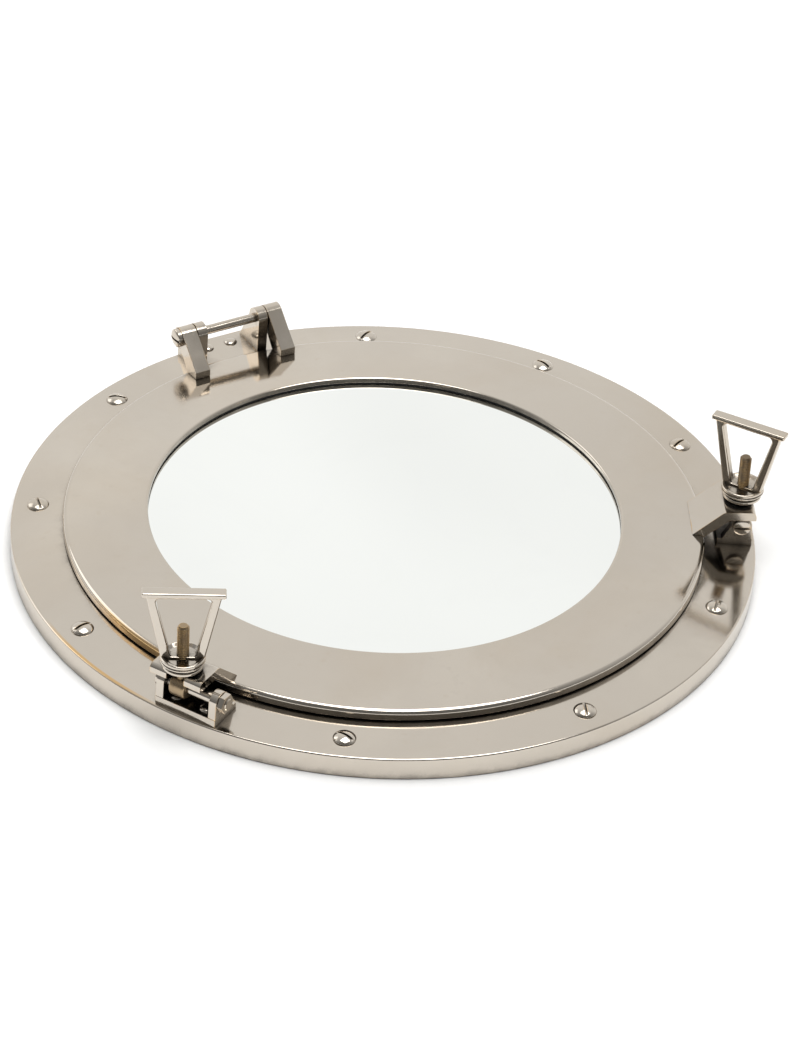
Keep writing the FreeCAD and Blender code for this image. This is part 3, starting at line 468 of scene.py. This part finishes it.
class Finishes:
    """The finishes of the porthole, each made once and kept by name."""

    def __init__(self, look):
        self.look = look
        self.wear = edge_wear_group()
        self.polish = polish_group()
        self.tarnish = tarnish_group()
        # Painted shade: mask that darkens recesses and the gaps between parts.
        self.grime = recess_shade_group()
        # Painted reflection: mask of a warm reflection over a short arc of a ring's outer edge.
        self.sector = painted_reflection_arc_group()
        self.made = {}

    def shell(self, name):
        material = bpy.data.materials.new(name)
        material.use_nodes = True
        tree = material.node_tree
        surface = next(n for n in tree.nodes if n.type == "BSDF_PRINCIPLED")
        place = tree.nodes.new("ShaderNodeTexCoord").outputs["Object"]
        return material, tree, surface, place

    def use(self, tree, which, place, **values):
        node = tree.nodes.new("ShaderNodeGroup")
        node.node_tree = which
        tree.links.new(place, node.inputs["Vector"])
        for label, value in values.items():
            node.inputs[label].default_value = value
        return node

    def bumped(self, tree, surface, heights):
        """Stack bumps; each is (height, distance in metres, strength)."""
        last = None
        for height, distance, strength in heights:
            bump = tree.nodes.new("ShaderNodeBump")
            bump.inputs["Distance"].default_value = distance
            bump.inputs["Strength"].default_value = strength
            tree.links.new(height, bump.inputs["Height"])
            if last:
                tree.links.new(last, bump.inputs["Normal"])
            last = bump.outputs["Normal"]
        tree.links.new(last, surface.inputs["Normal"])

    def metal(self, name, clean, stained, wear_and_reflection_tint, sheen=(0.05, 0.17), tarnish=0.35, wear=0.6, uneven=0.05,
              grime=0.9, reach=9 * MM, reflection_from=None, reflection_width=50 * MM):
        """A polished metal: clean and stained tints, another metal where wear has taken the plate off the
        edges, painted shade in its recesses, and on some rings a painted warm reflection over a short arc.
        """
        if name in self.made:
            return self.made[name]
        material, tree, surface, place = self.shell(name)
        surface.inputs["Metallic"].default_value = 1.0
        polish = self.use(tree, self.polish, place, Clean=sheen[0], Hazy=sheen[1])
        stain = self.use(tree, self.tarnish, place, Amount=tarnish)
        rub = self.use(tree, self.wear, place, Amount=wear)
        tint = mixed(tree, stain.outputs["Mask"], tuple(clean) + (1.0,), tuple(stained) + (1.0,))
        haze = tuple(0.86 * c for c in clean) + (1.0,)
        tint = mixed(tree, spread(tree, polish.outputs["Haze"], 0.0, 1.0, 0.0, 0.35), tint, haze)
        tint = mixed(tree, rub.outputs["Mask"], tint, tuple(wear_and_reflection_tint) + (1.0,))
        # Painted reflection: on some rings the edge colour is also laid over a short arc of the outer edge,
        # standing in for a warm reflection.
        if reflection_from:
            arc = self.use(tree, self.sector, place, Radius=reflection_from, Width=reflection_width, Amount=0.85)
            tint = mixed(tree, arc.outputs["Mask"], tint, tuple(wear_and_reflection_tint) + (1.0,))
        # Painted shade: a near-black colour laid into recesses and between parts, where ambient occlusion
        # finds nearby surfaces.
        shade_mask = self.use(tree, self.grime, place, Reach=reach, Amount=grime)
        tint = mixed(tree, shade_mask.outputs["Mask"], tint, (0.022, 0.019, 0.016, 1.0))
        tree.links.new(tint, surface.inputs["Base Color"])
        # Roughness is raised where the painted shade lies.
        shade_roughening = sums(tree, "MULTIPLY", shade_mask.outputs["Mask"], 0.25)
        dull = sums(tree, "ADD", polish.outputs["Roughness"], shade_roughening)
        tree.links.new(dull, surface.inputs["Roughness"])
        self.bumped(tree, surface, [(polish.outputs["Unevenness"], 1.2 * MM, uneven),
                                    (polish.outputs["Swirls"], 0.02 * MM, 0.25)])
        self.made[name] = material
        return material

    @property
    def nickel(self):
        return self.metal("polished nickel", self.look.nickel, self.look.nickel_stain, self.look.rubbed)

    @property
    def flange_nickel(self):
        # The flange also carries a painted warm reflection over a short arc of its rim edge.
        return self.metal("flange nickel", self.look.nickel, self.look.nickel_stain, self.look.rubbed,
                          reflection_from=188.2 * MM, reflection_width=2.2 * MM)

    @property
    def sash_nickel(self):
        # The sash also carries a painted warm reflection over a short arc of its outer edge.
        return self.metal("sash nickel", self.look.nickel, self.look.nickel_stain, self.look.rubbed,
                          reach=14 * MM, reflection_from=162.6 * MM)

    @property
    def cast_nickel(self):
        # Castings get strong painted shade in their recesses, reaching 14 mm.
        return self.metal("cast nickel fittings", self.look.nickel, self.look.nickel_stain, self.look.rubbed,
                          sheen=(0.07, 0.24), tarnish=0.5, wear=0.8, uneven=0.12, grime=0.95, reach=14 * MM)

    @property
    def brass(self):
        return self.metal("dark stud brass", self.look.brass, self.look.brass_dark, self.look.rubbed,
                          sheen=(0.24, 0.50), tarnish=0.9, wear=0.7, uneven=0.05)

    @property
    def steel(self):
        return self.metal("zinc screws", (0.55, 0.55, 0.54), (0.34, 0.33, 0.31), (0.7, 0.7, 0.7),
                          sheen=(0.28, 0.45), tarnish=0.5, wear=0.6)

    @property
    def mirror(self):
        if "mirror" in self.made:
            return self.made["mirror"]
        material, tree, surface, place = self.shell("silvered glass")
        surface.inputs["Metallic"].default_value = 1.0
        smear = spread(tree, noise(tree, place, 14.0, 5.0, 0.6, 1.2), 0.50, 0.78)
        dust = spread(tree, noise(tree, place, 900.0, 2.0, 0.5), 0.70, 0.80)
        veil = sums(tree, "MAXIMUM", sums(tree, "MULTIPLY", smear, 0.5), dust)
        tree.links.new(spread(tree, veil, 0.0, 1.0, 0.004, 0.045), surface.inputs["Roughness"])
        silver = tuple(self.look.silver)
        tint = mixed(tree, veil, silver + (1.0,), tuple(0.97 * c for c in silver) + (1.0,))
        tree.links.new(tint, surface.inputs["Base Color"])
        surface.inputs["Coat Weight"].default_value = 0.6
        surface.inputs["Coat Roughness"].default_value = 0.0
        self.made["mirror"] = material
        return material

    @property
    def rubber(self):
        if "rubber" in self.made:
            return self.made["rubber"]
        material, tree, surface, place = self.shell("seal rubber")
        grain = noise(tree, place, 1400.0, 3.0, 0.6)
        bloom = spread(tree, noise(tree, place, 30.0, 4.0, 0.6), 0.4, 0.75)
        tint = mixed(tree, bloom, (0.018, 0.018, 0.019, 1.0), (0.060, 0.058, 0.055, 1.0))
        tree.links.new(tint, surface.inputs["Base Color"])
        tree.links.new(spread(tree, bloom, 0.0, 1.0, 0.55, 0.80), surface.inputs["Roughness"])
        self.bumped(tree, surface, [(grain, 0.05 * MM, 0.5)])
        self.made["rubber"] = material
        return material


FINISH = {}


def finishes():
    """The finishes, made on first use from the colours in the scene's properties."""
    if "all" not in FINISH:
        FINISH["all"] = Finishes(bpy.context.scene.porthole_look)
    return FINISH["all"]


# ---------------------------------------------------------------- sizes and colours a user would change

class PortholeSizes(bpy.types.PropertyGroup):
    """Sizes of the finished surfaces that the frame's boxes do not give."""

    rim_height: bpy.props.FloatProperty(
        name="Rim height", description="Height of the flange's outer edge", default=11.7 * MM, unit="LENGTH")
    rim_wall: bpy.props.FloatProperty(
        name="Rim wall", description="Thickness of the turned-down rim", default=3.5 * MM, unit="LENGTH")
    seat_height: bpy.props.FloatProperty(
        name="Seat height", description="Height of the crowned flange under the sash", default=14.0 * MM,
        unit="LENGTH")
    crown_flat: bpy.props.FloatProperty(
        name="Crown flat", description="How far inside the sash edge the crown levels out", default=4.0 * MM,
        unit="LENGTH")
    plate: bpy.props.FloatProperty(
        name="Flange plate", description="Thickness of the flange", default=3.0 * MM, unit="LENGTH")
    coaming_radius: bpy.props.FloatProperty(
        name="Coaming radius", description="Inside radius of the base ring",
        default=136.0 * MM, unit="LENGTH")
    opening_radius: bpy.props.FloatProperty(
        name="Opening radius", description="Radius of the sash's lip", default=120.7 * MM, unit="LENGTH")
    sash_rise: bpy.props.FloatProperty(
        name="Sash rise", description="How much the sash rises from edge to lip",
        default=3.2 * MM, unit="LENGTH")
    edge_round: bpy.props.FloatProperty(
        name="Sash edge rounding", description="Radius of the sash's outer edge",
        default=3.4 * MM, unit="LENGTH")
    screw_radius: bpy.props.FloatProperty(
        name="Screw head radius", description="Radius of the flange screw heads",
        default=5.7 * MM, unit="LENGTH")
    screw_slot: bpy.props.FloatProperty(
        name="Driver slot", description="Width of the driver slots", default=1.3 * MM, unit="LENGTH")
    thread_pitch: bpy.props.FloatProperty(
        name="Thread pitch", description="Pitch of the studs' thread", default=1.0 * MM, unit="LENGTH")
    casting_edge: bpy.props.FloatProperty(
        name="Casting edge", description="Radius that polishing leaves on the castings", default=0.8 * MM,
        unit="LENGTH")


class PortholeLook(bpy.types.PropertyGroup):
    """Colours of the finishes."""

    nickel: bpy.props.FloatVectorProperty(
        name="Nickel", description="Clean polished nickel plate",
        default=(0.60, 0.545, 0.475), subtype="COLOR")
    nickel_stain: bpy.props.FloatVectorProperty(
        name="Stained nickel", description="Nickel under a yellow-brown tarnish", default=(0.50, 0.41, 0.30),
        subtype="COLOR")
    # This brass colour also serves as the painted warm reflection on the flange and sash edges.
    rubbed: bpy.props.FloatVectorProperty(
        name="Rubbed edge", description="Brass that shows where the plate is rubbed through",
        default=(0.66, 0.42, 0.17), subtype="COLOR")
    brass: bpy.props.FloatVectorProperty(
        name="Stud brass", description="Cleaner brass of the studs",
        default=(0.36, 0.27, 0.17), subtype="COLOR")
    brass_dark: bpy.props.FloatVectorProperty(
        name="Dark brass", description="Oxide on the studs", default=(0.10, 0.075, 0.05), subtype="COLOR")
    silver: bpy.props.FloatVectorProperty(
        name="Silvering", description="Colour of the mirror", default=(0.93, 0.945, 0.925), subtype="COLOR")
    floor: bpy.props.FloatVectorProperty(
        name="Floor", description="Colour of the pale floor", default=(0.965, 0.965, 0.96), subtype="COLOR")


def ring_of(name, corners, radii, material, body, node=None, segments=288, steps=5):
    """A turned ring from the corners of its section."""
    section = rounded_outline(corners, radii, steps)
    return build(name, [spun(section, segments)], material, body, (node,) if node else ())


def dome(radius, height, steps=8, segments=40, foot=0.0):
    """A shallow dome closed underneath: height * cos(t) over radius * sin(t)."""
    turn = np.linspace(0, math.pi / 2, steps)
    profile = np.stack([radius * np.sin(turn), height * np.cos(turn)], 1)
    profile = np.concatenate([profile, [[radius, -foot], [0, -foot]]])
    return spun(profile, segments, closed=False)


def rod(radius, start, stop, chamfer=0.3 * MM, segments=48):
    """A plain rod along Z with chamfered, closed ends."""
    profile = [(0, start), (radius - chamfer, start), (radius, start + chamfer),
               (radius, stop - chamfer), (radius - chamfer, stop), (0, stop)]
    return spun(profile, segments, closed=False)


def moved(shell, angle=0.0, centre=(0.0, 0.0, 0.0)):
    """A shell turned about Z and then moved."""
    return turned(shell[0], angle, centre), shell[1]


def tipped(shell, centre, facing=1):
    """A shell whose Z axis is laid along +Y, or along -Y, with its foot at a centre."""
    points = shell[0]
    if facing < 0:
        points = points * np.array([-1.0, 1.0, 1.0])
        points = np.stack([points[..., 0], -points[..., 2], -points[..., 1]], -1) + np.asarray(centre)
        return points, shell[1]
    return laid(points, centre), shell[1]


def at_angle(shells, angle):
    """Local shells turned about the ring's axis to their place."""
    return [(turned(points, angle), wrap) for points, wrap in shells]


class PORTHOLE_OT_base(bpy.types.Operator):
    """Build the base ring: turned-down rim, crowned flange, sealing bead and coaming"""
    bl_idname = "porthole.base"
    bl_label = "Base ring"

    def execute(self, context):
        sizes = context.scene.porthole_sizes
        rim, top = high("base_ring", 0), high("base_ring", 2)
        seat, plate = sizes.seat_height, sizes.plate
        crown = high("sash_ring", 0) - sizes.crown_flat
        bead = (low_radius("sash_seal") + high("sash_seal", 0)) / 2
        inner, wall = sizes.coaming_radius, rim - sizes.rim_wall
        corners = [(rim, 0), (rim, sizes.rim_height), (crown, seat), (bead + 1.5 * MM, seat),
                   (bead + 0.5 * MM, top), (bead - 0.5 * MM, top), (bead - 1.5 * MM, seat), (inner, seat),
                   (inner, 0), (inner + 3.5 * MM, 0), (inner + 3.5 * MM, seat - plate),
                   (crown, seat - plate), (wall, sizes.rim_height - plate), (wall, 0)]
        radii = [0.4, 1.0, 40.0, 0.2, 0.25, 0.25, 0.2, 0.8, 0.4, 0.4, 1.0, 40.0, 1.0, 0.4]
        ring_of("rim_and_flange", corners, [r * MM for r in radii], finishes().flange_nickel, "frame",
                "base_ring", segments=360)
        return {"FINISHED"}


def low_radius(node):
    """Inner radius of the seal ring, from its width and outer radius."""
    return high(node, 0) - SEAL_WIDTH


SEAL_WIDTH = 10.0 * MM


class PORTHOLE_OT_sash(bpy.types.Operator):
    """Build the sash ring and its rubber seal"""
    bl_idname = "porthole.sash"
    bl_label = "Sash ring"

    def execute(self, context):
        sizes = context.scene.porthole_sizes
        edge, lip = high("sash_ring", 0), sizes.opening_radius
        bottom, top = low("sash_ring", 2), high("sash_ring", 2)
        shoulder = top - sizes.sash_rise
        glass = low("mirror_glass", 2)
        pocket = high("mirror_glass", 0) + 0.5 * MM
        under = high("glass_bedding", 2)
        seal_out, seal_in, seal_top = high("sash_seal", 0), low_radius("sash_seal"), high("sash_seal", 2)
        corners = [(edge, bottom), (edge, shoulder), (lip, top), (lip, under), (pocket, under),
                   (pocket, glass), (seal_in, glass), (seal_in, seal_top), (seal_out, seal_top),
                   (seal_out, bottom)]
        radii = [0.4 * MM, sizes.edge_round, 1.6 * MM, 0.3 * MM, 0.0, 0.2 * MM, 0.3 * MM, 0.0, 0.0, 0.3 * MM]
        ring_of("sash_casting", corners, radii, finishes().sash_nickel, "sash", "sash_ring",
                segments=360, steps=8)
        low_z = low("sash_seal", 2)
        section = [(seal_in, low_z), (seal_out, low_z), (seal_out, seal_top), (seal_in, seal_top)]
        ring_of("rubber_seal", section, [1.2 * MM, 1.2 * MM, 0.1 * MM, 0.1 * MM], finishes().rubber,
                "sash", "sash_seal")
        return {"FINISHED"}


class PORTHOLE_OT_glazing(bpy.types.Operator):
    """Build the mirror, its bedding and the ring that holds it from behind"""
    bl_idname = "porthole.glazing"
    bl_label = "Glazing"

    def execute(self, context):
        sizes = context.scene.porthole_sizes
        radius = high("mirror_glass", 0)
        bottom, top = low("mirror_glass", 2), high("mirror_glass", 2)
        arris = 0.5 * MM
        profile = [(0, top), (radius * 0.5, top), (radius - arris, top), (radius, top - arris),
                   (radius, bottom + arris), (radius - arris, bottom), (0, bottom)]
        build("mirror_pane", [spun(profile, 288, closed=False)], finishes().mirror, "sash", ("mirror_glass",))
        inner = sizes.opening_radius + 0.5 * MM
        lip = high("glass_bedding", 2)
        ring_of("bedding_ring", [(inner, top), (radius, top), (radius, lip), (inner, lip)], [0.2 * MM] * 4,
                finishes().rubber, "sash", "glass_bedding", steps=2)
        outer, low_z, high_z = high("glass_retainer", 0), low("glass_retainer", 2), high("glass_retainer", 2)
        inside = outer - RETAINER_WIDTH
        ring_of("retainer", [(inside, low_z), (outer, low_z), (outer, high_z), (inside, high_z)],
                [0.5 * MM] * 4, finishes().nickel, "sash", "glass_retainer")
        return {"FINISHED"}


RETAINER_WIDTH = 16.8 * MM


class PORTHOLE_OT_screws(bpy.types.Operator):
    """Build the flange screws, and the small screws under the sash"""
    bl_idname = "porthole.screws"
    bl_label = "Screws"

    def execute(self, context):
        sizes = context.scene.porthole_sizes
        circle = (high("sash_ring", 0) + high("base_ring", 0)) / 2
        top, bottom = high("flange_screws", 2), low("flange_screws", 2)
        height = 2.9 * MM
        seat = top - height
        head = slotted_head(sizes.screw_radius, height - 0.45 * MM, 0.45 * MM, sizes.screw_slot, 1.4 * MM)
        shank = rod(2.4 * MM, bottom, seat + 0.2 * MM)
        shells = []
        for angle, slot in FLANGE_SCREWS:
            placed = moved(head, math.radians(slot), (circle, 0, seat))
            shells += at_angle([placed, moved(shank, 0, (circle, 0, 0))], math.radians(angle))
        build("flange_screw_heads", shells, finishes().cast_nickel, "frame", ("flange_screws",))
        softened("retainer_small_screws", "retainer_screws", 0.15 * MM, finishes().steel, "sash", 2)
        softened("lug_small_screws", "lug_screws", 0.15 * MM, finishes().steel, "sash", 2)
        return {"FINISHED"}


class PORTHOLE_OT_hinge(bpy.types.Operator):
    """Build the hinge: bracket, rivets, the two arms and the slotted pin"""
    bl_idname = "porthole.hinge"
    bl_label = "Hinge"

    def execute(self, context):
        sizes = context.scene.porthole_sizes
        metal = finishes().cast_nickel
        softened("hinge_bracket_casting", "hinge_bracket", sizes.casting_edge, metal, "frame")
        for side in SIDES:
            softened("hinge_arm_casting_" + side, "hinge_arm_" + side, 2 * sizes.casting_edge, metal, "sash")
        lo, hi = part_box("hinge_rivets")
        foot = hi[2] - 1.6 * MM
        radius = (lo[1] + hi[1]) / 2
        reach = (hi[0] - lo[0]) / 2 - 3.5 * MM
        shells = []
        for offset in (-reach, reach):
            cap = moved(dome(3.5 * MM, 1.6 * MM, foot=0.3 * MM), 0, (radius, offset, foot))
            tail = moved(rod(2.0 * MM, lo[2], foot), 0, (radius, offset, 0))
            shells += at_angle([cap, tail], math.pi / 2)
        build("hinge_rivet_heads", shells, metal, "frame", ("hinge_rivets",))
        x, z = HINGE["pos_m"][1], HINGE["pos_m"][2]
        start, stop = -high("hinge_pin", 0), -low("hinge_pin", 0)
        cap_foot = stop - 3.4 * MM
        shaft = tipped(rod(2.5 * MM, start, cap_foot + 0.5 * MM, 0.5 * MM), (x, 0, z))
        pin_cap = slotted_head(5.0 * MM, 1.5 * MM, 1.9 * MM, sizes.screw_slot, 1.4 * MM)
        head = tipped(pin_cap, (x, cap_foot, z))
        build("hinge_pin_turned", at_angle([shaft, head], math.pi / 2), metal, "sash", ("hinge_pin",))
        return {"FINISHED"}


class PORTHOLE_OT_dogs(bpy.types.Operator):
    """Build both dogs: fork, bracket, pivot screw, swing bolt, washer and loop wing nut"""
    bl_idname = "porthole.dogs"
    bl_label = "Dogs"

    def execute(self, context):
        sizes = context.scene.porthole_sizes
        metal = finishes().cast_nickel
        lo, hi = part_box("dog_rivets")
        for side in SIDES:
            angle, radius, pivot = dog(side)
            softened("fork_casting_" + side, "sash_fork_" + side, sizes.casting_edge, metal, "sash")
            softened("dog_bracket_casting_" + side, "dog_bracket_" + side, 0.7 * MM, metal, "frame")
            softened("pivot_nut_" + side, "dog_pivot_nut_" + side, 0.35 * MM, metal, "frame")
            shaft = tipped(rod(3.0 * MM, EAR_LOW, EAR_HIGH + 3.8 * MM, 0.5 * MM), (radius, 0, pivot))
            head = tipped(slotted_head(4.5 * MM, 0.9 * MM, 1.3 * MM, sizes.screw_slot, 1.0 * MM),
                          (radius, EAR_LOW, pivot), -1)
            build("pivot_screw_" + side, at_angle([shaft, head], angle), metal, "frame",
                  ("dog_pivot_" + side,))
            self.swing_bolt(side, angle, radius, pivot, sizes)
            self.nut(side, angle, radius)
        foot = hi[2] - 1.6 * MM
        shells = []
        for side in SIDES:
            angle, radius, pivot = dog(side)
            for offset in DOG_RIVETS:
                cap = moved(dome(3.5 * MM, 1.6 * MM, foot=0.3 * MM), 0, (radius, offset, foot))
                tail = moved(rod(2.0 * MM, lo[2], foot), 0, (radius, offset, 0))
                shells += at_angle([cap, tail], angle)
        build("dog_rivet_heads", shells, metal, "frame", ("dog_rivets",))
        return {"FINISHED"}

    def swing_bolt(self, side, angle, radius, pivot, sizes):
        """A threaded stud rising from a rounded eye on the pivot."""
        top = high("swing_bolt_" + side, 2)
        eye = rounded_outline([(3.05 * MM, -4.5 * MM), (6.0 * MM, -4.5 * MM), (6.0 * MM, 4.5 * MM),
                               (3.05 * MM, 4.5 * MM)], [0.3 * MM, 1.4 * MM, 1.4 * MM, 0.3 * MM], 5)
        ring = tipped(spun(eye, 64), (radius, 0, pivot))
        stud = threaded(3.0 * MM, 0.42 * MM, sizes.thread_pitch, pivot + 4.6 * MM, 33 * MM, top)
        build("threaded_swing_bolt_" + side, at_angle([ring, moved(stud, 0, (radius, 0, 0))], angle),
              finishes().brass, "swing_bolt_" + side, ("swing_bolt_" + side,))
        low_z, high_z = low("dog_washer_" + side, 2), high("dog_washer_" + side, 2)
        flat = rounded_outline([(3.2 * MM, low_z), (10 * MM, low_z), (10 * MM, high_z), (3.2 * MM, high_z)],
                               [0.2 * MM, 0.5 * MM, 0.6 * MM, 0.3 * MM], 4)
        build("turned_washer_" + side, at_angle([moved(spun(flat, 96), 0, (radius, 0, 0))], angle),
              finishes().cast_nickel, "washer_" + side, ("dog_washer_" + side,))

    def nut(self, side, angle, radius):
        """A dished, grooved collar with a tapered loop and a flat capped bar to turn it by."""
        node = "wing_nut_" + side
        foot, top = low(node, 2), high(node, 2)
        face = foot + 4.6 * MM
        collar = rounded_outline(
            [(3.05 * MM, foot), (9.0 * MM, foot), (9.0 * MM, foot + 1.4 * MM), (11.0 * MM, foot + 1.4 * MM),
             (11.0 * MM, face - 2.2 * MM), (10.1 * MM, face - 2.2 * MM), (10.1 * MM, face - 1.6 * MM),
             (11.0 * MM, face - 1.6 * MM), (11.0 * MM, face), (9.6 * MM, face), (7.9 * MM, face - 1.2 * MM),
             (3.05 * MM, face - 1.2 * MM)],
            [0.1 * MM, 0.5 * MM, 0.3 * MM, 0.6 * MM, 0.25 * MM, 0.1 * MM, 0.1 * MM, 0.25 * MM, 0.7 * MM,
             0.5 * MM, 0.6 * MM, 0.3 * MM], 5)
        sill, head = face - 1.6 * MM, top
        crown = head - 0.4 * MM
        corners = [(-10.5 * MM, sill), (10.5 * MM, sill), (18.4 * MM, crown), (-18.4 * MM, crown)]
        outer = rounded_outline(corners, [0.8 * MM, 0.8 * MM, 2.2 * MM, 2.2 * MM], 6)
        inner = rounded_outline([(-5.9 * MM, face), (5.9 * MM, face), (13.8 * MM, head - 3.4 * MM),
                                 (-13.8 * MM, head - 3.4 * MM)], [1.2 * MM, 1.2 * MM, 2.4 * MM, 2.4 * MM], 6)
        loop = band(outer, inner, 5.0 * MM, 1.3 * MM)
        cap = bar_between(-20.0 * MM, 20.0 * MM, 6.2 * MM, 2.6 * MM, 0.8 * MM)
        cap = (cap[0] + np.array([0, 0, head - 1.3 * MM]), cap[1])
        centre = (radius * math.cos(angle), radius * math.sin(angle), 0)
        yaw = math.radians(NUT_YAW[side])
        shells = [moved(s, yaw, centre) for s in (spun(collar, 96), loop, cap)]
        build("loop_wing_nut_" + side, shells, finishes().cast_nickel, node, (node,))


EAR_LOW, EAR_HIGH = -11.4 * MM, 23.0 * MM
DOG_RIVETS = (-2.7 * MM, 14.3 * MM)


class PORTHOLE_OT_stage(bpy.types.Operator):
    """Set the pale floor, the soft surroundings, the lights and the camera"""
    bl_idname = "porthole.stage"
    bl_label = "Stage"

    def execute(self, context):
        scene = context.scene
        self.floor(scene)
        self.surroundings(scene)
        self.light("overhead_softbox", (0.2, -0.2, 2.4), 1.8, 46)
        self.light("side_softbox", (-2.2, 0.9, 1.5), 1.6, 10)
        self.camera(scene)
        scene.view_settings.view_transform = "Standard"
        scene.view_settings.look = "None"
        return {"FINISHED"}

    def floor(self, scene):
        """A wide pale sheet just under the rim."""
        half, level = 6.0, low("base_ring", 2) - 0.0002
        u = np.linspace(-half, half, 9)
        x, y = np.meshgrid(u, u, indexing="ij")
        points = np.stack([x, y, np.full_like(x, level)], -1)
        mesh = bpy.data.meshes.new("pale_floor")
        mesh.from_pydata(points.reshape(-1, 3).tolist(), [], quads(9, 9, (False, False)).tolist())
        floor = bpy.data.objects.new("pale_floor", mesh)
        scene.collection.objects.link(floor)
        material, tree, surface, place = finishes().shell("pale floor")
        paper = spread(tree, noise(tree, place, 240.0, 3.0), 0.3, 0.7)
        colour = tuple(finishes().look.floor)
        tint = mixed(tree, paper, colour + (1.0,), tuple(0.985 * c for c in colour) + (1.0,))
        tree.links.new(tint, surface.inputs["Base Color"])
        surface.inputs["Roughness"].default_value = 0.9
        surface.inputs["Specular IOR Level"].default_value = 0.1
        mesh.materials.append(material)

    def surroundings(self, scene):
        """A bright wall ahead, paler sides, a dim studio behind: brightness by the level direction."""
        world = bpy.data.worlds.new("studio")
        scene.world = world
        world.use_nodes = True
        tree = world.node_tree
        glow = next(n for n in tree.nodes if n.type == "BACKGROUND")
        direction = tree.nodes.new("ShaderNodeTexCoord").outputs["Generated"]
        dot = tree.nodes.new("ShaderNodeVectorMath")
        dot.operation = "DOT_PRODUCT"
        tree.links.new(direction, dot.inputs[0])
        dot.inputs[1].default_value = (math.sin(VIEW_TURN), math.cos(VIEW_TURN), 0.0)
        ramp = tree.nodes.new("ShaderNodeValToRGB")
        tree.links.new(spread(tree, dot.outputs["Value"], -1.0, 1.0), ramp.inputs["Fac"])
        stops = [(0.0, 0.17), (0.22, 0.20), (0.36, 0.38), (0.60, 0.62), (0.78, 0.95), (1.0, 1.05)]
        ramp.color_ramp.elements[0].position, ramp.color_ramp.elements[1].position = stops[0][0], stops[-1][0]
        for place, value in stops[1:-1]:
            ramp.color_ramp.elements.new(place)
        for element, (place, value) in zip(ramp.color_ramp.elements, stops):
            element.color = (value, value, value * 0.99, 1.0)
        drapes = spread(tree, noise(tree, direction, 5.5, 3.0, 0.55, 0.6), 0.35, 0.70, 0.90, 1.05)
        shaded = tree.nodes.new("ShaderNodeMix")
        shaded.data_type = "RGBA"
        shaded.blend_type = "MULTIPLY"
        shaded.inputs[0].default_value = 1.0
        tree.links.new(ramp.outputs["Color"], shaded.inputs[6])
        tree.links.new(drapes, shaded.inputs[7])
        tree.links.new(shaded.outputs[2], glow.inputs["Color"])
        glow.inputs["Strength"].default_value = 1.0

    def light(self, name, place, size, power):
        """A square softbox aimed at the porthole."""
        data = bpy.data.lights.new(name, "AREA")
        data.size = size
        data.energy = power
        lamp = bpy.data.objects.new(name, data)
        c, s = math.cos(-VIEW_TURN), math.sin(-VIEW_TURN)
        lamp.location = (place[0] * c - place[1] * s, place[0] * s + place[1] * c, place[2])
        lamp.rotation_mode = "QUATERNION"
        lamp.rotation_quaternion = (-Vector(lamp.location)).to_track_quat("-Z", "Y")
        bpy.context.scene.collection.objects.link(lamp)

    def camera(self, scene):
        """A long lens, a little over two metres off, 35 degrees above the floor and slightly tilted."""
        height, distance = math.radians(35.35), 2.027
        tilt = math.radians(3.35)
        data = bpy.data.cameras.new("camera")
        data.sensor_width = 36.0
        data.lens = 134.4
        camera = bpy.data.objects.new("camera", data)
        scene.collection.objects.link(camera)
        ahead = Vector((0, math.cos(height), -math.sin(height)))
        right = Vector((1, 0, 0))
        up = right.cross(ahead)
        across = math.cos(tilt) * right + math.sin(tilt) * up
        upright = -math.sin(tilt) * right + math.cos(tilt) * up
        place = Vector((6.6 * MM, 18.5 * MM, 0)) - ahead * distance
        spin = Matrix.Rotation(-VIEW_TURN, 3, "Z")
        columns = [spin @ across, spin @ upright, spin @ -ahead]
        camera.matrix_world = Matrix.Translation(spin @ place) @ Matrix(columns).transposed().to_4x4()
        data.clip_start, data.clip_end = 0.05, 50
        scene.camera = camera


class PORTHOLE_PT_panel(bpy.types.Panel):
    """Panel that lists the pieces of the porthole"""
    bl_idname = "PORTHOLE_PT_panel"
    bl_label = "Porthole"
    bl_space_type = "VIEW_3D"
    bl_region_type = "UI"
    bl_category = "Porthole"

    def draw(self, context):
        for settings in (context.scene.porthole_sizes, context.scene.porthole_look):
            for name in settings.bl_rna.properties.keys():
                if name not in ("rna_type", "name"):
                    self.layout.prop(settings, name)
        for operator in OPERATORS:
            self.layout.operator(operator.bl_idname)


OPERATORS = (PORTHOLE_OT_base, PORTHOLE_OT_sash, PORTHOLE_OT_glazing, PORTHOLE_OT_screws,
             PORTHOLE_OT_hinge, PORTHOLE_OT_dogs, PORTHOLE_OT_stage)
CLASSES = (PortholeSizes, PortholeLook) + OPERATORS + (PORTHOLE_PT_panel,)


def register():
    """Register the classes and hang the settings on the scene."""
    for item in CLASSES:
        bpy.utils.register_class(item)
    bpy.types.Scene.porthole_sizes = bpy.props.PointerProperty(type=PortholeSizes)
    bpy.types.Scene.porthole_look = bpy.props.PointerProperty(type=PortholeLook)


def unregister():
    """Take the settings and the classes away again."""
    del bpy.types.Scene.porthole_sizes
    del bpy.types.Scene.porthole_look
    for item in reversed(CLASSES):
        bpy.utils.unregister_class(item)


def main():
    """Build every piece in order."""
    register()
    for operator in OPERATORS:
        family, name = operator.bl_idname.split(".")
        getattr(getattr(bpy.ops, family), name)()


if __name__ == "__main__":
    main()
